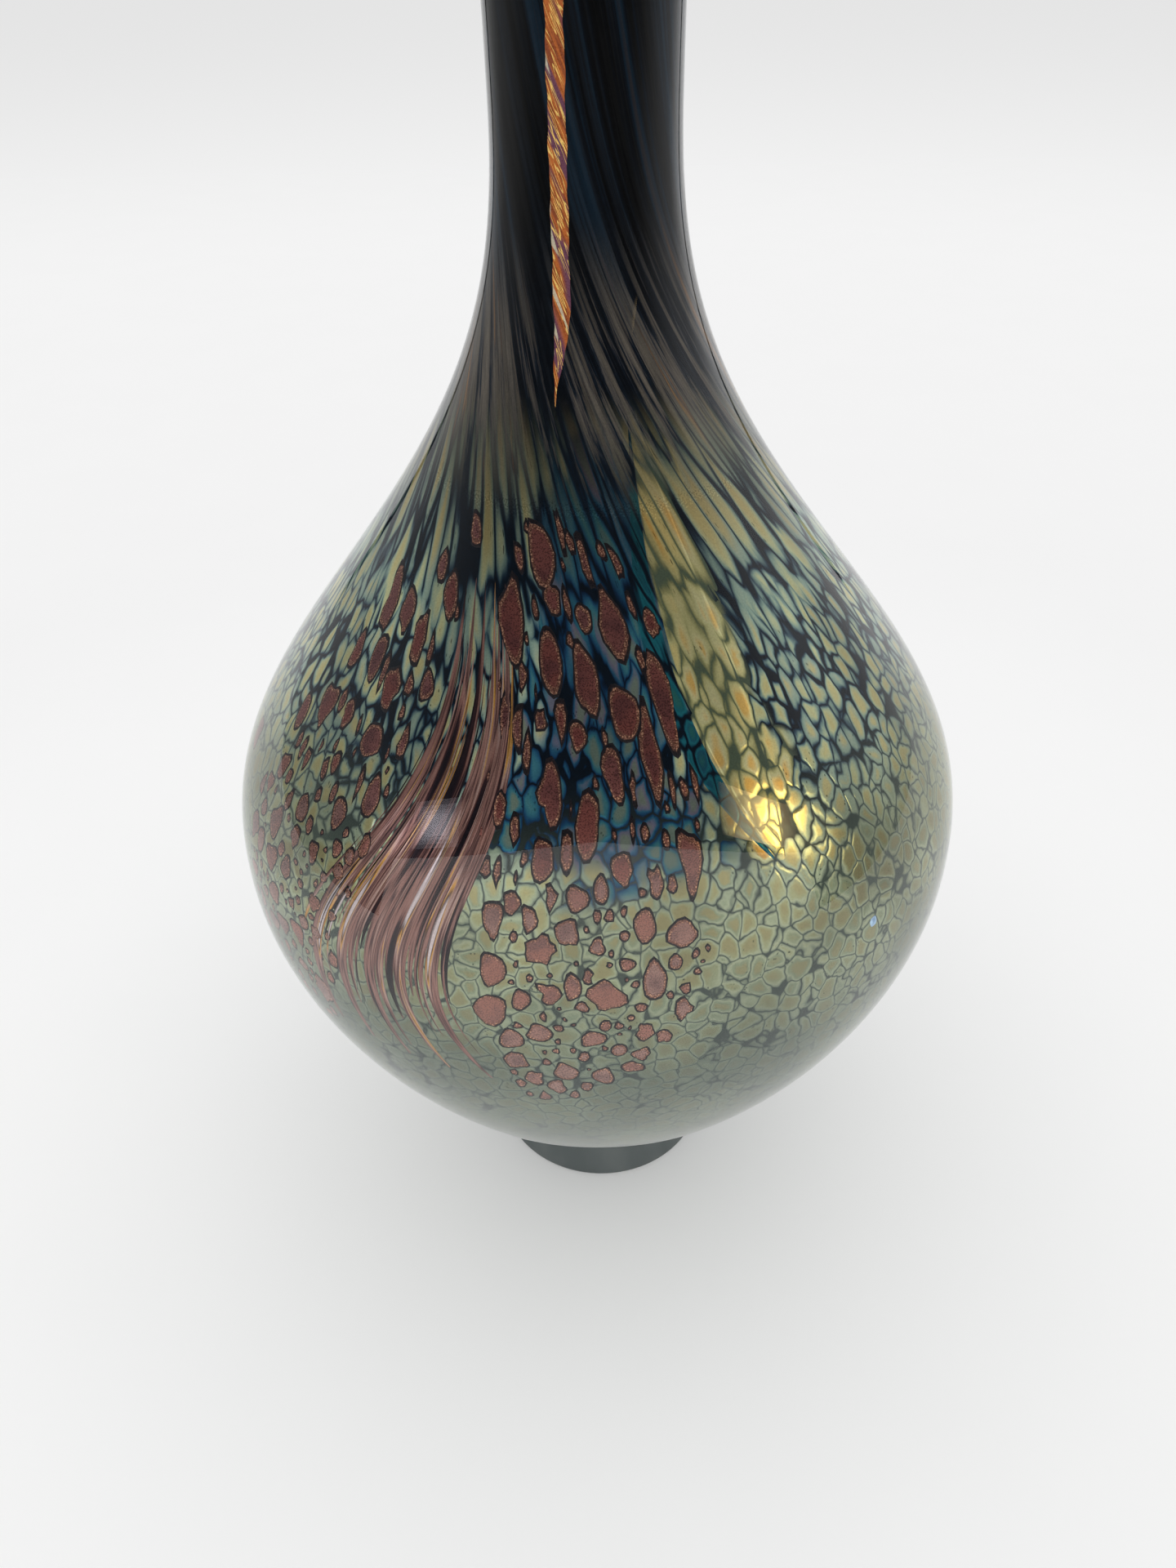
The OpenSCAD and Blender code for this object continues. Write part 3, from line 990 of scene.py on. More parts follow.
@dataclass(frozen=True)
class CasingFinish:
    """Clear fire-polished glass. Lamps and soft light pass it on a straight line."""

    name: str
    tint: Colour = (0.97, 0.99, 0.985)
    ior: float = 1.5
    wave: float = 0.02
    wave_depth: float = 0.2
    wave_noise: Numbers = (22, 1)

    def make(self) -> bpy.types.Material:
        """Makes the material.

        Returns:
            The material.
        """
        material, sheet = new_material(self.name)
        waves = sheet.add("Bump", {"Strength": self.wave, "Distance": self.wave_depth * MM,
                                   "Height": sheet.noise(sheet.place(), *self.wave_noise)})
        glass = sheet.add("BsdfPrincipled", {
            "Base Color": self.tint, "Roughness": 0.0, "IOR": self.ior,
            "Transmission Weight": 1.0, "Normal": waves.outputs[0]})
        rays = sheet.add("LightPath").outputs
        passing = sheet.math("MAXIMUM", rays[Ray.SHADOW.value], rays[Ray.DIFFUSE.value])
        passing = sheet.math("MAXIMUM", passing, rays[Ray.GLOSSY.value])
        open_air = sheet.add("BsdfTransparent", {0: self.tint})
        sheet.finish("MixShader", {0: passing, 1: glass.outputs[0], 2: open_air.outputs[0]})
        return material


def rest() -> None:
    """Leaves edit mode and deselects everything."""
    if bpy.context.object and bpy.context.object.mode != "OBJECT":
        bpy.ops.object.mode_set(mode="OBJECT")
    bpy.ops.object.select_all(action="DESELECT")


def pick(piece: bpy.types.Object) -> None:
    """Makes one piece the selected, active one.

    Args:
        piece: The piece.
    """
    rest()
    piece.select_set(True)
    bpy.context.view_layer.objects.active = piece


def edit(piece: bpy.types.Object, *steps: Callable[[], object]) -> None:
    """Runs operators in edit mode on all of a piece.

    Args:
        piece: The piece.
        steps: The operators, in order.
    """
    pick(piece)
    bpy.ops.object.mode_set(mode="EDIT")
    bpy.ops.mesh.select_all(action="SELECT")
    for step in steps:
        step()
    bpy.ops.object.mode_set(mode="OBJECT")


def places_of(piece: bpy.types.Object) -> np.ndarray:
    """Lists the places of a mesh's points.

    Args:
        piece: The piece.

    Returns:
        The places, one in each row.
    """
    places = np.empty(len(piece.data.vertices) * 3)
    piece.data.vertices.foreach_get("co", places)
    return places.reshape(-1, 3)


def carry(piece: bpy.types.Object, name: str, kind: str, values: Sequence) -> None:
    """Gives each point of a mesh a value.

    Args:
        piece: The piece.
        name: The attribute's name.
        kind: FLOAT or FLOAT_VECTOR.
        values: One value for each point.
    """
    layer = piece.data.attributes.new(name, kind, "POINT")
    key = "value" if kind == "FLOAT" else "vector"
    layer.data.foreach_set(key, np.array(values, np.float32).ravel())


def spin(name: str, path: Sequence[Point], segments: int = 224,
         weld: float = 0.002 * MM) -> bpy.types.Object:
    """Spins an outline that starts and ends on the axis into a closed piece.

    Args:
        name: The piece's name.
        path: Radius and height of each point.
        segments: Number of steps around.
        weld: How near points lie that become one.

    Returns:
        The piece.
    """
    rest()
    bpy.ops.mesh.primitive_circle_add(vertices=len(path), fill_type="NOTHING")
    piece = bpy.context.object
    piece.name = name
    for vertex, (r, z) in zip(piece.data.vertices, path):
        vertex.co = (0, r, z)
    last = len(path) - 1
    edit(piece, lambda: bpy.ops.mesh.select_mode(type="EDGE"),
         lambda: bpy.ops.mesh.select_all(action="DESELECT"))
    for line in piece.data.edges:
        line.select = set(line.vertices) == {0, last}
    bpy.ops.object.mode_set(mode="EDIT")
    bpy.ops.mesh.delete(type="EDGE")
    bpy.ops.mesh.select_mode(type="VERT")
    edit(piece,
         lambda: bpy.ops.mesh.spin(steps=segments, angle=2 * math.pi, center=(0, 0, 0),
                                   axis=(0, 0, 1)),
         lambda: bpy.ops.mesh.select_all(action="SELECT"),
         lambda: bpy.ops.mesh.remove_doubles(threshold=weld),
         lambda: bpy.ops.mesh.normals_make_consistent(inside=False))
    pick(piece)
    bpy.ops.object.shade_smooth()
    return piece


@dataclass
class Inlay:
    """Colour laid into the skin: a thin piece that lies on its face, with sunk edges."""

    outline: Outline
    flow: Flow
    proud: float = 0.08 * MM
    sunk: float = 0.06 * MM
    crown: float = 0.45
    thickness: float = 0.4 * MM
    tone_shift: float = 40

    def lay(self, piece: bpy.types.Object, turn: float, rims: np.ndarray, tone: float = 0.5,
            lift: float = 0.0) -> None:
        """Lays a flat blank, drawn in the front view, on the skin's face.

        Args:
            piece: The blank, with x across and z up.
            turn: Turn of its middle to the right of the front, in radians.
            rims: How far in from the blank's edge each point lies, in millimetres.
            tone: Shade of the piece, from 0 to 1.
            lift: How much prouder than its fellows it lies.
        """
        flat = places_of(piece)
        inward = self.sunk - (self.sunk + self.proud + lift) * smooth(rims, 0, self.crown)
        r = self.outline.radius(flat[:, 2], inward)
        side = np.arcsin(np.clip(flat[:, 0] / r, -1, 1)) + turn
        curved = np.column_stack((r * np.sin(side), -r * np.cos(side), flat[:, 2]))
        piece.data.vertices.foreach_set("co", curved.ravel())
        carry(piece, "rim", "FLOAT", rims)
        carry(piece, "tone", "FLOAT", np.full(len(rims), tone))
        carry(piece, "flow", "FLOAT_VECTOR", self.flow.source(curved))

    def strip(self, name: str, rows: Sequence[tuple[float, float, float]], across: int = 10,
              tone: float = 0.5, lift: float = 0.0) -> bpy.types.Object:
        """Makes a strip down the front view.

        Args:
            name: The piece's name.
            rows: Height, middle and half width at each row, from the top down.
            across: Steps across the strip.
            tone: Shade of the strip, from 0 to 1.
            lift: How much prouder than its fellows it lies.

        Returns:
            The strip, laid on the skin.
        """
        rest()
        bpy.ops.mesh.primitive_grid_add(x_subdivisions=across, y_subdivisions=len(rows) - 1,
                                        size=2)
        piece = bpy.context.object
        piece.name = name
        grid = places_of(piece)
        down = (1 - grid[:, 1]) / 2
        row = np.rint(down * (len(rows) - 1)).astype(int)
        z, middle, half = np.array(rows)[row].T
        flat = np.column_stack((middle + grid[:, 0] * half, 0 * z, z))
        piece.data.vertices.foreach_set("co", flat.ravel())
        carry(piece, "lane", "FLOAT_VECTOR",
              np.column_stack((grid[:, 0] * half / MM, -z / MM,
                               0 * z + self.tone_shift * tone)))
        ends = np.minimum(down, 1 - down) * (rows[0][0] - rows[-1][0])
        self.lay(piece, 0.0, np.minimum((1 - abs(grid[:, 0])) * half, ends) / MM, tone, lift)
        return piece

    def close(self, name: str, parts: Sequence[bpy.types.Object]) -> bpy.types.Object:
        """Joins parts, gives them their thickness and smooths them.

        Args:
            name: Name of the whole.
            parts: The thin parts.

        Returns:
            The closed piece.
        """
        rest()
        for part in parts:
            part.select_set(True)
        bpy.context.view_layer.objects.active = parts[0]
        if len(parts) > 1:
            bpy.ops.object.join()
        piece = bpy.context.object
        piece.name = name
        outward = sum(p.normal.dot(Vector((p.center.x, p.center.y, 0)).normalized())
                      for p in piece.data.polygons)
        if outward < 0:
            edit(piece, lambda: bpy.ops.mesh.flip_normals())
        wall = piece.modifiers.new("wall", "SOLIDIFY")
        wall.thickness = self.thickness
        wall.offset = -1
        pick(piece)
        bpy.ops.object.modifier_apply(modifier=wall.name)
        bpy.ops.object.shade_smooth()
        return piece


def dress(piece: bpy.types.Object, material: bpy.types.Material, node: str) -> None:
    """Gives a piece its finish and its place in the part.

    Args:
        piece: The piece.
        material: Its finish.
        node: The CAD node that it stands for.
    """
    piece.data.materials.clear()
    piece.data.materials.append(material)
    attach(piece, BODY)
    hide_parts(node)
    log.info("%s: %d faces", piece.name, len(piece.data.polygons))


@dataclass(frozen=True)
class Zone:
    """A zone of the spotted layer, which its finish reads by name. Turns are in degrees."""

    name: str
    turn: float
    spreads: Point
    rise: Point
    fall: Point
    lean: float = 0.0
    lean_height: float = 190 * MM
    depth: float = 1.0

    def strength(self, places: np.ndarray) -> np.ndarray:
        """Gives the zone's strength at some places.

        Args:
            places: The places, one in each row.

        Returns:
            The strengths, from 0 to 1.
        """
        x, y, z = places.T
        leant = self.lean * (z - self.lean_height) / MM
        away = np.degrees(np.arctan2(x, -y)) - self.turn - leant
        away = away / np.where(away < 0, *self.spreads)
        return self.depth * smooth(z, *self.rise) * smooth(z, *self.fall) * np.exp(-away * away)


@dataclass
class BlownBody:
    """The bubble, the spotted layer and the clear gather."""

    outline: Outline
    flow: Flow
    lap_steps: int = 3
    lap: float = 0.05 * MM
    sunk: float = 0.3 * MM
    zones: Sequence[Zone] = (
        Zone("gold", turn=22, spreads=(5, 12), rise=(150 * MM, 175 * MM),
             fall=(244 * MM, 222 * MM), lean=-0.12),
        # The cool zone is painted sheen: teal and violet spots in the front column, where the
        # lustre mirrors the dark room.
        Zone("cool", turn=2, spreads=(17, 17), rise=(150 * MM, 170 * MM),
             fall=(238 * MM, 220 * MM)),
        # The shade zone is painted shade at the neck root, left of the front.
        Zone("shade", turn=-22, spreads=(24, 24), rise=(196 * MM, 226 * MM),
             fall=(275 * MM, 255 * MM), depth=0.4))

    def bubble(self) -> None:
        """Builds the dark bubble that holds the water."""
        path = self.outline.path(Face.UNDER_SPOTS) + self.outline.path(Face.BORE)[::-1]
        finish = SolidGlassFinish("blue_black_glass", deep=(0.003, 0.006, 0.012),
                                  light=(0.008, 0.018, 0.03))
        dress(spin("dark_bubble", path), finish.make(), "core_bubble")

    def skin(self) -> None:
        """Builds the spotted layer, with the zones of colour, painted sheen and painted shade
        that it carries.
        """
        path = self.outline.path(Face.UNDER_CASING) + self.outline.path(Face.UNDER_SPOTS)[::-1]
        piece = spin("spotted_layer", path)
        places = places_of(piece)
        carry(piece, "flow", "FLOAT_VECTOR", self.flow.source(places))
        for zone in self.zones:
            carry(piece, zone.name, "FLOAT", zone.strength(places))
        dress(piece, LustreFinish("lustred_spots").make(), "spot_skin")

    def casing(self) -> None:
        """Builds the clear gather, which laps over the rim and down into the bore."""
        outside = self.outline.path(Face.OUTSIDE)
        bore = self.outline.path(Face.BORE, self.lap)
        inside = self.outline.path(Face.UNDER_CASING, self.sunk)
        lap = bore[-1:-1 - self.lap_steps:-1]
        path = outside + self.outline.rim() + lap + inside[:-self.lap_steps][::-1]
        dress(spin("clear_gather", path), CasingFinish("clear_glass").make(),
              "clear_casing")


@dataclass
class Foot:
    """The applied foot: it cups the underside and has a ground hollow below."""

    outline: Outline
    foot_r: float = 31.5 * MM
    rest_width: float = 7 * MM
    hollow: float = 2.5 * MM
    edge: float = 1 * MM
    sunk: float = 0.12 * MM
    side_shares: Sequence[Point] = ((0, 0), (0.25, 0.2), (0.85, 0.55), (1, 1))
    steps: int = 14

    def build(self) -> None:
        """Builds the foot."""
        o = self.outline
        rest_r = self.foot_r - self.edge - self.rest_width
        ball = (rest_r ** 2 + self.hollow ** 2) / (2 * self.hollow)
        reach = math.asin(rest_r / ball)
        side = o.stretch(self.side_shares, self.foot_r, o.joint_r, self.edge, o.joint_height)
        shares = [i / self.steps for i in range(self.steps + 1)]
        path = [(ball * math.sin(reach * t), self.hollow - ball * (1 - math.cos(reach * t)))
                for t in shares]
        path += [(self.foot_r - self.edge * (1 - math.sin(math.pi / 2 * t)),
                  self.edge * (1 - math.cos(math.pi / 2 * t))) for t in shares]
        path += [tuple(along(side, t)) for t in shares[1:]]
        path += o.path(Face.OUTSIDE, self.sunk)[:o.steps[0]][::-1]
        finish = SolidGlassFinish("dark_grey_glass", deep=(0.085, 0.1, 0.1),
                                  light=(0.12, 0.135, 0.133), cord=14, roughness=0.12)
        dress(spin("applied_foot", path), finish.make(), "foot")


@dataclass
class Streaks:
    """The gold streak and the teal streak beside it."""

    inlay: Inlay
    top: float = 234 * MM
    low: float = 158 * MM
    gold_width: float = 12 * MM
    teal_width: float = 5 * MM
    turn: float = math.radians(16)
    low_turn: float = math.radians(27)
    tip_share: float = 0.12
    lean_power: float = 1.4
    rows: int = 90

    def swell(self, share: float) -> float:
        """Gives a streak's width at a share of its length, as a share of its greatest."""
        return self.tip_share + (1 - self.tip_share) * math.sin(
            math.pi * share ** self.lean_power)

    def build(self) -> None:
        """Builds both streaks."""
        gold, teal = [], []
        for i in range(self.rows):
            share = i / (self.rows - 1)
            z = self.top + (self.low - self.top) * share
            turn = self.turn + (self.low_turn - self.turn) * share
            middle = self.inlay.outline.reach(z) * math.sin(turn)
            half = self.gold_width / 2 * self.swell(share)
            gold.append((z, middle, half))
            teal_half = self.teal_width / 2 * self.swell(share)
            teal.append((z, middle - half - teal_half, teal_half))
        for name, rows, palette, node, slot in (
                ("gold_run", gold, GOLD, "gold_streak", "gold_glass"),
                ("teal_run", teal, TEAL, "teal_streak", "teal_glass")):
            piece = self.inlay.close(name, [self.inlay.strip(name, rows)])
            dress(piece, LustreFinish(name + "_lustre", palette).make(), node)


@dataclass
class Ribbon:
    """The twisted cane down the front of the neck."""

    inlay: Inlay
    width: float = 3.4 * MM
    offset: float = 4.8 * MM
    low: float = 234 * MM
    top_gap: float = 1 * MM
    tail_multiple: float = 5
    tail_taper: float = 0.8
    frays: Sequence[Point] = ((0.06, 1.9 * MM), (0.04, 0.83 * MM))
    rows: int = 160

    def build(self) -> None:
        """Builds the ribbon, with its frayed tail."""
        top = self.inlay.outline.rim_height - self.top_gap
        tail = self.width * self.tail_multiple
        rows = []
        for i in range(self.rows):
            z = top + (self.low - top) * i / (self.rows - 1)
            ending = smooth(z, self.low + tail, self.low)
            fray = sum(size * math.sin(z / wave) for size, wave in self.frays)
            half = self.width / 2 * (1 - self.tail_taper * ending + fray)
            rows.append((z, -self.offset - self.width / 2 * ending, half))
        piece = self.inlay.close("twisted_cane", [self.inlay.strip("twisted_cane", rows)])
        dress(piece, RibbonFinish("twisted_cane_glass").make(), "neck_ribbon")


@dataclass
class Plume:
    """Copper pulled down the front in swaying strands, with fine threads between them."""

    inlay: Inlay
    count: int = 5
    top: float = 206 * MM
    low: float = 112 * MM
    width: float = 4.2 * MM
    turn: float = 27
    step_top: float = 2.6
    step_low: float = 6.2
    sway: float = 5
    fan_power: float = 1.5
    tip_share: float = 0.22
    top_share: float = 0.45
    fillers: int = 15
    filler_share: float = 0.8
    filler_overhang: float = 0.35
    filler_starts: Point = (0, 0.25)
    filler_ends: Point = (0.7, 1)
    filler_widths: Point = (0.6, 1.2)
    threads: int = 26
    thread_share: float = 0.2
    thread_overhang: float = 0.6
    thread_starts: Point = (0, 0.5)
    thread_run: float = 0.3
    thread_widths: Point = (0.6, 1.6)
    thread_layers: int = 3
    layer: float = 0.006 * MM
    rows: int = 90
    wide_scale: float = 0.5
    wide_steps: int = 8
    thin_steps: int = 4
    seed: int = 4

    def step(self, share: float) -> float:
        """Gives the turn from strand to strand at a share of the way down, in degrees."""
        return self.step_top + (self.step_low - self.step_top) * share ** self.fan_power

    def place(self, side: float, share: float) -> tuple[float, float]:
        """Finds the height and the turn on a strand.

        Args:
            side: The strand's place counted from the plume's middle.
            share: Share of the way down.

        Returns:
            The height, and the turn in radians.
        """
        turn = -self.turn + side * self.step(share) + self.sway * math.sin(2 * math.pi * share)
        return self.top + (self.low - self.top) * share, math.radians(turn)

    def half_spread(self, z: float) -> float:
        """Gives the plume's half width at a height, in degrees."""
        share = min(1.0, max(0.0, (z - self.top) / (self.low - self.top)))
        return self.count / 2 * self.step(share)

    def strand(self, side: float, ends: tuple[float, float], scale: float, tone: float = 0.5,
               lift: float = 0.0) -> bpy.types.Object:
        """Makes one strand.

        Args:
            side: Its place counted from the plume's middle.
            ends: Shares of the way down at which it starts and ends.
            scale: Its width as a share of a full strand's.
            tone: Its shade.
            lift: How much prouder than the others it lies.

        Returns:
            The strand.
        """
        rows = []
        for i in range(self.rows):
            t = i / (self.rows - 1)
            share = ends[0] + (ends[1] - ends[0]) * t
            z, turn = self.place(side, share)
            bulge = self.tip_share + (1 - self.tip_share) * math.sin(math.pi * t)
            half = self.width / 2 * scale * bulge * (
                self.top_share + (1 - self.top_share) * share)
            rows.append((z, self.inlay.outline.reach(z) * math.sin(turn), half))
        across = self.wide_steps if scale > self.wide_scale else self.thin_steps
        return self.inlay.strip("strand", rows, across, tone, lift)

    def build(self) -> None:
        """Builds the plume: filling strands, then the main strands, then fine threads."""
        draw = random.Random(self.seed)
        middle = (self.count - 1) / 2
        strands = []
        for k in range(self.fillers):
            side = (k / (self.fillers - 1) * 2 - 1) * (middle + self.filler_overhang)
            ends = (draw.uniform(*self.filler_starts), draw.uniform(*self.filler_ends))
            strands.append(self.strand(side, ends,
                                       self.filler_share * draw.uniform(*self.filler_widths),
                                       draw.random(), self.layer * (k - self.fillers)))
        for k in range(self.count):
            strands.append(self.strand(k - middle, (0, 1), 1, draw.random(), self.layer * k))
        reach = middle + self.thread_overhang
        for k in range(self.threads):
            start = draw.uniform(*self.thread_starts)
            ends = (start, draw.uniform(start + self.thread_run, 1))
            strands.append(self.strand(draw.uniform(-reach, reach), ends,
                                       self.thread_share * draw.uniform(*self.thread_widths),
                                       draw.random(),
                                       self.layer * (self.count + k % self.thread_layers)))
        piece = self.inlay.close("pulled_plume", strands)
        dress(piece, ThreadFinish("pulled_copper").make(), "copper_plume")


@dataclass
class Grain:
    """The place and size of one grain of colour."""

    turn: float
    height: float
    half: float
    length: float

    def clears(self, other: "Grain", reach: float, gap: float, least: float = 0.85) -> bool:
        """Tells whether two grains keep apart.

        Args:
            other: The other grain.
            reach: Radius of the glass there.
            gap: Room between them.
            least: How far apart they have to be, where 1 is the round of both.

        Returns:
            Whether they do.
        """
        across = (self.turn - other.turn) * reach / (self.half + other.half + gap)
        along_it = (self.height - other.height) / (self.length + other.length + gap)
        return across * across + along_it * along_it > least


@dataclass
class Drift:
    """The zone round the plume in which small chips lie between the large ones.

    The zone's heights and the sizes are in millimetres, and its turns in degrees.
    """

    plume: Plume
    outline: Outline
    heights: Sequence[float] = (108, 125, 150, 168, 200, 216)
    lefts: Sequence[float] = (-46, -62, -66, -62, -36, -22)
    rights: Sequence[float] = (-4, 8, 16, 17, 14, 2)
    calm_height: float = 160 * MM
    calm_reach: float = 12 * MM
    base_sizes: Point = (0.6, 1.0)
    added_sizes: Point = (0.3, 3.1)
    fade_power: float = 1.3
    round_lengths: Point = (0.8, 1.5)
    pulled_lengths: Point = (0.8, 2.6)
    pulled_share: float = 0.5
    pulled_width: float = 0.85
    tries: int = 3600
    gap: float = 0.3 * MM
    seed: int = 21

    def scatter(self, grains: list[Grain]) -> list[Grain]:
        """Throws small chips into the room that the given grains leave.

        Args:
            grains: The grains that are already there.

        Returns:
            All the grains.
        """
        draw = random.Random(self.seed)
        grains = list(grains)
        for attempt in range(self.tries):
            z = draw.uniform(self.heights[0], self.heights[-1])
            turn = draw.uniform(np.interp(z, self.heights, self.lefts),
                                np.interp(z, self.heights, self.rights))
            z *= MM
            if abs(turn + self.plume.turn) < self.plume.half_spread(z):
                continue
            fade = 1 - attempt / self.tries
            half = draw.uniform(*self.base_sizes) * MM
            half += draw.uniform(*self.added_sizes) * MM * fade ** self.fade_power
            pulled = smooth(z, self.calm_height - self.calm_reach,
                            self.calm_height + self.calm_reach)
            length = half * draw.uniform(*(start + more * pulled for start, more in zip(
                self.round_lengths, self.pulled_lengths)))
            if pulled > self.pulled_share:
                half *= self.pulled_width
            grain = Grain(math.radians(turn), z, half, length)
            reach = self.outline.reach(z)
            if all(grain.clears(other, reach, self.gap) for other in grains):
                grains.append(grain)
        return grains


@dataclass
class Grains:
    """Loose grains of colour at the places that the CAD node's solids give."""

    inlay: Inlay
    corners: int = 16
    rings: Sequence[float] = (0.13, 0.2, 0.3)
    small_corners: int = 10
    small_rings: Sequence[float] = (0.2,)
    small: float = 1.7 * MM
    lift: float = 0.05 * MM
    wobble: float = 0.15
    waves: Sequence[int] = (2, 3, 4, 5)
    wave_power: float = 0.6
    taper: float = 0.3
    bend: float = 0.4
    bend_level: float = 0.3
    spread: float = 1.22
    weld: float = 0.001 * MM
    seed: int = 7

    def places(self, node: str) -> list[Grain]:
        """Reads where a node's loose solids are.

        Args:
            node: The CAD node.

        Returns:
            The grains, from the top down.
        """
        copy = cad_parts[node].copy()
        copy.data = copy.data.copy()
        bpy.context.collection.objects.link(copy)
        copy.parent = None
        edit(copy, lambda: bpy.ops.mesh.remove_doubles(threshold=self.weld),
             lambda: bpy.ops.mesh.separate(type="LOOSE"))
        found = []
        for part in list(bpy.context.selected_objects):
            points = places_of(part)
            middle = (points.min(0) + points.max(0)) / 2
            turn = math.atan2(middle[0], -middle[1])
            across = points[:, 0] * math.cos(turn) + points[:, 1] * math.sin(turn)
            found.append(Grain(turn, float(middle[2]), float(np.ptp(across)) / 2 * self.spread,
                               float(np.ptp(points[:, 2])) / 2 * self.spread))
            bpy.data.objects.remove(part)
        return sorted(found, key=lambda grain: -grain.height)

    @staticmethod
    def blank(corners: int, rings: Sequence[float]) -> bpy.types.Object:
        """Makes a flat round blank with rings of points for its outline, rim and crown.

        Args:
            corners: Number of points around.
            rings: Width of each ring of faces, from the outside in.

        Returns:
            The blank.
        """
        rest()
        bpy.ops.mesh.primitive_circle_add(vertices=corners, radius=1, fill_type="NGON",
                                          rotation=(math.pi / 2, 0, 0))
        piece = bpy.context.object
        bpy.ops.object.transform_apply(location=False, rotation=True, scale=False)
        insets = [lambda t=t: bpy.ops.mesh.inset(thickness=t) for t in rings]
        edit(piece, *insets, lambda: bpy.ops.mesh.poke())
        return piece

    def build(self, name: str, node: str, slot: str, material: bpy.types.Material,
              drift: Optional[Drift] = None) -> None:
        """Builds all the grains of a node as one piece.

        Args:
            name: The piece's name.
            node: The CAD node.
            slot: Not used.
            material: The finish.
            drift: The zone in which small grains lie between the large ones, if any.
        """
        draw = random.Random(self.seed)
        blanks = (self.blank(self.corners, self.rings),
                  self.blank(self.small_corners, self.small_rings))
        parts = []
        grains = self.places(node)
        for grain in drift.scatter(grains) if drift else grains:
            blank = blanks[grain.half < self.small]
            flat = places_of(blank)
            reach, angle = np.hypot(flat[:, 0], flat[:, 2]), np.arctan2(flat[:, 2], flat[:, 0])
            part = blank.copy()
            part.data = blank.data.copy()
            bpy.context.collection.objects.link(part)
            swell = 1.0
            for n in self.waves:
                swell = swell + draw.gauss(0, self.wobble / n ** self.wave_power) * np.cos(
                    n * angle + draw.uniform(0, 2 * math.pi))
            narrow = 1 + draw.uniform(-self.taper, self.taper) * flat[:, 2]
            bent = draw.uniform(-self.bend, self.bend) * (
                flat[:, 2] ** 2 - self.bend_level)
            rise = flat[:, 2] * grain.length * swell
            lean = math.radians(self.inlay.flow.rate(grain.height)) / MM * (
                self.inlay.outline.reach(grain.height))
            wide = (flat[:, 0] * swell * narrow + bent) * grain.half
            shaped = np.column_stack((wide - lean * rise, 0 * rise, grain.height + rise))
            part.data.vertices.foreach_set("co", shaped.ravel())
            rims = (1 - reach) * min(grain.half, grain.length) / MM
            self.inlay.lay(part, grain.turn, rims, draw.random(), self.lift)
            parts.append(part)
        for blank in blanks:
            bpy.data.objects.remove(blank)
        dress(self.inlay.close(name, parts), material, node)


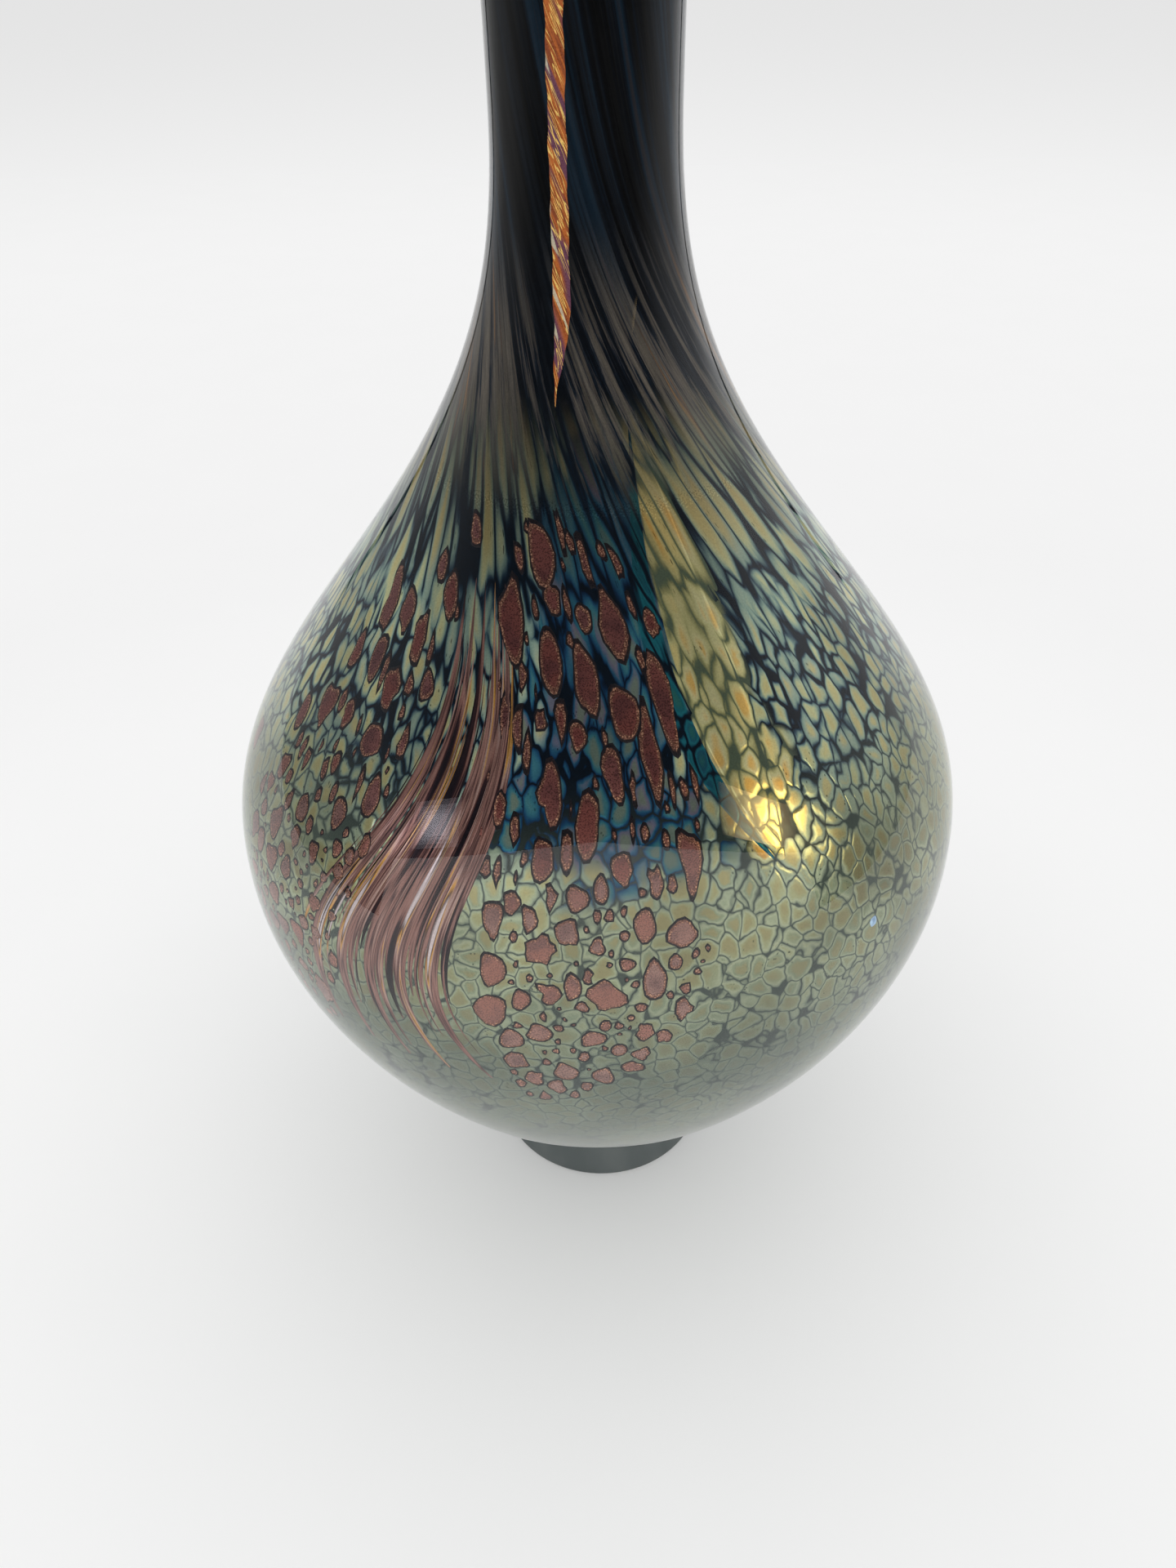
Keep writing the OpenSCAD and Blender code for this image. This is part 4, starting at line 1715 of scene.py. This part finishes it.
@dataclass
class Studio:
    """The floor, the card, the lamps, the world and the camera.

    The world's levels are set by the turn from the front in degrees, by height and by side.
    """

    background: float = 0.905
    far_background: float = 0.78
    plain: float = 1.0
    dark: float = 0.04
    side: float = 0.27
    low_side: float = 0.45
    bright_side: float = 0.75
    ramp: float = 0.25
    right_ramp: float = 0.6
    high_ramp: float = 0.7
    sweep_ease: Numbers = (-0.22, -0.04)
    level_ease: Numbers = (0.1, 0.4)
    ramp_ease: Numbers = (-0.05, 0.35)
    right_ease: Numbers = (-0.1, 0.3)
    side_ease: Numbers = (50, 105)
    back_ease: Numbers = (108, 138)
    white_ease: Numbers = (141, 143)
    seam_turn: float = 140
    seam_ease: Numbers = (0.8, 2.2, 0.05, 1)
    floor_albedo: float = 0.975
    floor_ease: Numbers = (160, 460)
    speckle_noise: Numbers = (60,)
    speckle_ease: Numbers = (0.3, 0.7, 0.995, 1)
    floor_lift: float = 0.1
    floor_half: float = 1.3
    floor_y: float = 0.35
    card_y: float = -0.23
    card_half: float = 0.36
    card_top: float = 0.257
    card_slope: float = 0.07
    card_light: float = 0.95
    camera_place: tuple[float, float, float] = (0.0, -0.2473, 0.3124)
    pitch: float = 37.0
    yaw: float = -0.512
    roll: float = -1.233
    focal_pixels: float = 1442
    frame_height_pixels: float = 1920
    sensor: float = 36.0
    lamp_distance: float = 0.35
    lamp_turn: float = 54
    lamp_rise: float = 22
    lamp_spread: float = 24
    lamp_step: float = 0.001
    glint_place: tuple[float, float, float] = (0.032, -0.067, 0.168)
    warm_size: tuple[float, float] = (0.175, 0.055)
    warm_light: float = 0.42
    warm_roll: float = -33
    pale_size: tuple[float, float] = (0.1, 0.055)
    pale_light: float = 0.06
    pale_roll: float = 26
    pale_shares: tuple[float, ...] = (1.0, 0.8, 0.62, 0.45)
    warm: Colour = (1.0, 0.72, 0.34)
    cool: Colour = (0.96, 0.9, 1.0)

    @staticmethod
    def length(sheet: Sheet, vector: Value) -> Socket:
        """Gives a vector's length."""
        return sheet.add("VectorMath", {0: vector}, operation="LENGTH").outputs["Value"]

    def sweep(self, sheet: Sheet, rise: Value) -> Socket:
        """Gives the white sweep's level where a line from the camera rises by that much."""
        return sheet.ease(rise, *self.sweep_ease, self.background, self.far_background)

    def floor(self) -> None:
        """Lays the pale floor, which blends into the white background."""
        rest()
        bpy.ops.mesh.primitive_plane_add(size=2 * self.floor_half,
                                         location=(0, self.floor_y, 0))
        floor = bpy.context.object
        floor.name = "floor"
        bpy.ops.object.transform_apply(location=True)
        material, sheet = new_material("pale_floor")
        near = self.length(sheet, sheet.place())
        eye = Vector(self.camera_place) / MM
        far = sheet.math("DIVIDE", -eye.z, self.length(
            sheet, sheet.vector("SUBTRACT", sheet.place(), tuple(eye))))
        shade = sheet.mix(sheet.ease(near, *self.floor_ease), (self.floor_albedo,) * 3,
                          self.sweep(sheet, far))
        speckle = sheet.ease(sheet.noise(sheet.place(), *self.speckle_noise),
                             *self.speckle_ease)
        cloth = sheet.add("BsdfDiffuse", {"Color": sheet.tint(shade, speckle)})
        lift = sheet.add("Emission", {"Color": (self.background,) * 3})
        seen = sheet.add("LightPath").outputs[Ray.CAMERA.value]
        sheet.finish("MixShader", {0: sheet.times(seen, self.floor_lift), 1: cloth.outputs[0],
                                   2: lift.outputs[0]})
        floor.data.materials.append(material)

    def card(self) -> None:
        """Stands the low white card in front, which only reflections see."""
        rest()
        bpy.ops.mesh.primitive_grid_add(x_subdivisions=2, y_subdivisions=1, size=2)
        card = bpy.context.object
        card.name = "front_card"
        for vertex in card.data.vertices:
            x, up = vertex.co.x * self.card_half, (vertex.co.y + 1) / 2
            vertex.co = (x, self.card_y, up * (self.card_top - self.card_slope * abs(x)))
        material, sheet = new_material("white_card")
        sheet.finish("Emission", {"Color": (self.card_light,) * 3})
        card.data.materials.append(material)
        card.visible_camera = card.visible_diffuse = card.visible_shadow = False
        card.visible_transmission = False

    def aim(self, side: int, distance: float, roll: float) -> tuple[Vector, Quaternion]:
        """Finds where a lamp hangs.

        Args:
            side: 1 for the right, -1 for the left.
            distance: Its distance from the shoulder.
            roll: Its roll, in degrees.

        Returns:
            Its place, and how it is turned to face the shoulder.
        """
        turn, rise = math.radians(self.lamp_turn * side), math.radians(self.lamp_rise)
        way = Vector((math.sin(turn) * math.cos(rise), -math.cos(turn) * math.cos(rise),
                      math.sin(rise)))
        x, y, z = self.glint_place
        rolled = Quaternion((0, 0, 1), math.radians(roll))
        return Vector((side * x, y, z)) + way * distance, way.to_track_quat("Z", "Y") @ rolled

    def lamps(self) -> None:
        """Hangs a warm lamp on the right, and a stack of ever smaller pale ones on the left."""
        for side, size, light, roll, colour, shares in (
                (1, self.warm_size, self.warm_light, self.warm_roll, self.warm, (1.0,)),
                (-1, self.pale_size, self.pale_light, self.pale_roll, self.cool,
                 self.pale_shares)):
            for k, share in enumerate(shares):
                place, turned = self.aim(side, self.lamp_distance - k * self.lamp_step, roll)
                bpy.ops.object.light_add(type="AREA", location=place,
                                         rotation=turned.to_euler())
                lamp = bpy.context.object
                lamp.data.shape = "RECTANGLE"
                lamp.data.size, lamp.data.size_y = (edge * share for edge in size)
                lamp.data.energy = light * lamp.data.size * lamp.data.size_y
                lamp.data.color = colour
                lamp.data.spread = math.radians(self.lamp_spread)

    def world(self) -> None:
        """Makes the world: a white sweep behind, a dark room in front, plain soft light."""
        world = bpy.data.worlds.new("studio")
        bpy.context.scene.world = world
        world.use_nodes = True
        world.cycles.sampling_method = "NONE"
        sheet = Sheet(world.node_tree)
        x, y, z = sheet.split(sheet.add("TexCoord").outputs["Generated"])
        turn = sheet.math("DEGREES", sheet.math("ARCTAN2", sheet.math("ABSOLUTE", x),
                                                sheet.times(y, -1)))
        right = sheet.ease(z, *self.level_ease, self.low_side, self.bright_side)
        side = sheet.ease(x, *self.right_ease, self.side, right)
        low_ramp = sheet.ease(x, *self.right_ease, self.ramp, self.right_ramp)
        ramp = sheet.ease(z, *self.ramp_ease, low_ramp, self.high_ramp)
        room = sheet.plus(sheet.ease(turn, *self.side_ease, self.dark, side),
                          sheet.ease(turn, *self.back_ease, 0.0, ramp))
        light = sheet.mix(sheet.ease(turn, *self.white_ease), room, (1.0,) * 3)
        seam = sheet.math("ABSOLUTE", sheet.minus(turn, self.seam_turn))
        light = sheet.tint(light, sheet.ease(seam, *self.seam_ease))
        rays = sheet.add("LightPath").outputs
        seen = sheet.math("MAXIMUM", rays[Ray.CAMERA.value], rays[Ray.THROUGH.value])
        level = sheet.mix(rays[Ray.GLOSSY.value], (self.plain,) * 3, light)
        level = sheet.mix(seen, level, self.sweep(sheet, z))
        sheet.finish("Background", {"Color": level, "Strength": 1.0}, "World")

    def camera(self) -> None:
        """Sets the camera at the photograph's place and angle."""
        pitch, yaw, roll = (math.radians(a) for a in (self.pitch, self.yaw, self.roll))
        ahead = Vector((math.sin(yaw) * math.cos(pitch), math.cos(yaw) * math.cos(pitch),
                        -math.sin(pitch)))
        right = Vector((math.cos(yaw), -math.sin(yaw), 0))
        up = right.cross(ahead)
        level = right * math.cos(roll) + up * math.sin(roll)
        upward = up * math.cos(roll) - right * math.sin(roll)
        data = bpy.data.cameras.new("camera")
        data.sensor_width = self.sensor
        data.lens = self.focal_pixels / self.frame_height_pixels * self.sensor
        data.clip_start = 1 * MM
        camera = bpy.data.objects.new("camera", data)
        bpy.context.collection.objects.link(camera)
        turned = Matrix((level, upward, -ahead)).transposed().to_4x4()
        camera.matrix_world = Matrix.Translation(self.camera_place) @ turned
        bpy.context.scene.camera = camera

    def build(self) -> None:
        """Sets the whole studio up."""
        self.camera()
        self.floor()
        self.card()
        self.lamps()
        self.world()
        bpy.context.scene.view_settings.view_transform = "Standard"


def main() -> None:
    """Builds the studio and the vase, from the inside out."""
    logging.basicConfig(level=logging.INFO, format="%(name)s: %(message)s")
    Studio().build()
    outline = Outline()
    flow = Flow(outline)
    body = BlownBody(outline, flow)
    body.bubble()
    body.skin()
    inlay = Inlay(outline, flow)
    Streaks(inlay).build()
    Ribbon(inlay).build()
    plume = Plume(inlay)
    plume.build()
    Grains(inlay).build("copper_frit", "copper_chips", "copper_glass",
                        CopperFinish("copper_frit_glass").make(), Drift(plume, outline))
    fleck = SolidGlassFinish("pale_blue_glass", deep=(0.16, 0.27, 0.45),
                             light=(0.42, 0.6, 0.8), cord=1.2, roughness=0.2)
    Grains(inlay, seed=11).build("blue_frit", "blue_flecks", "fleck_glass", fleck.make())
    body.casing()
    Foot(outline).build()
    rest()


if __name__ == "__main__":
    main()
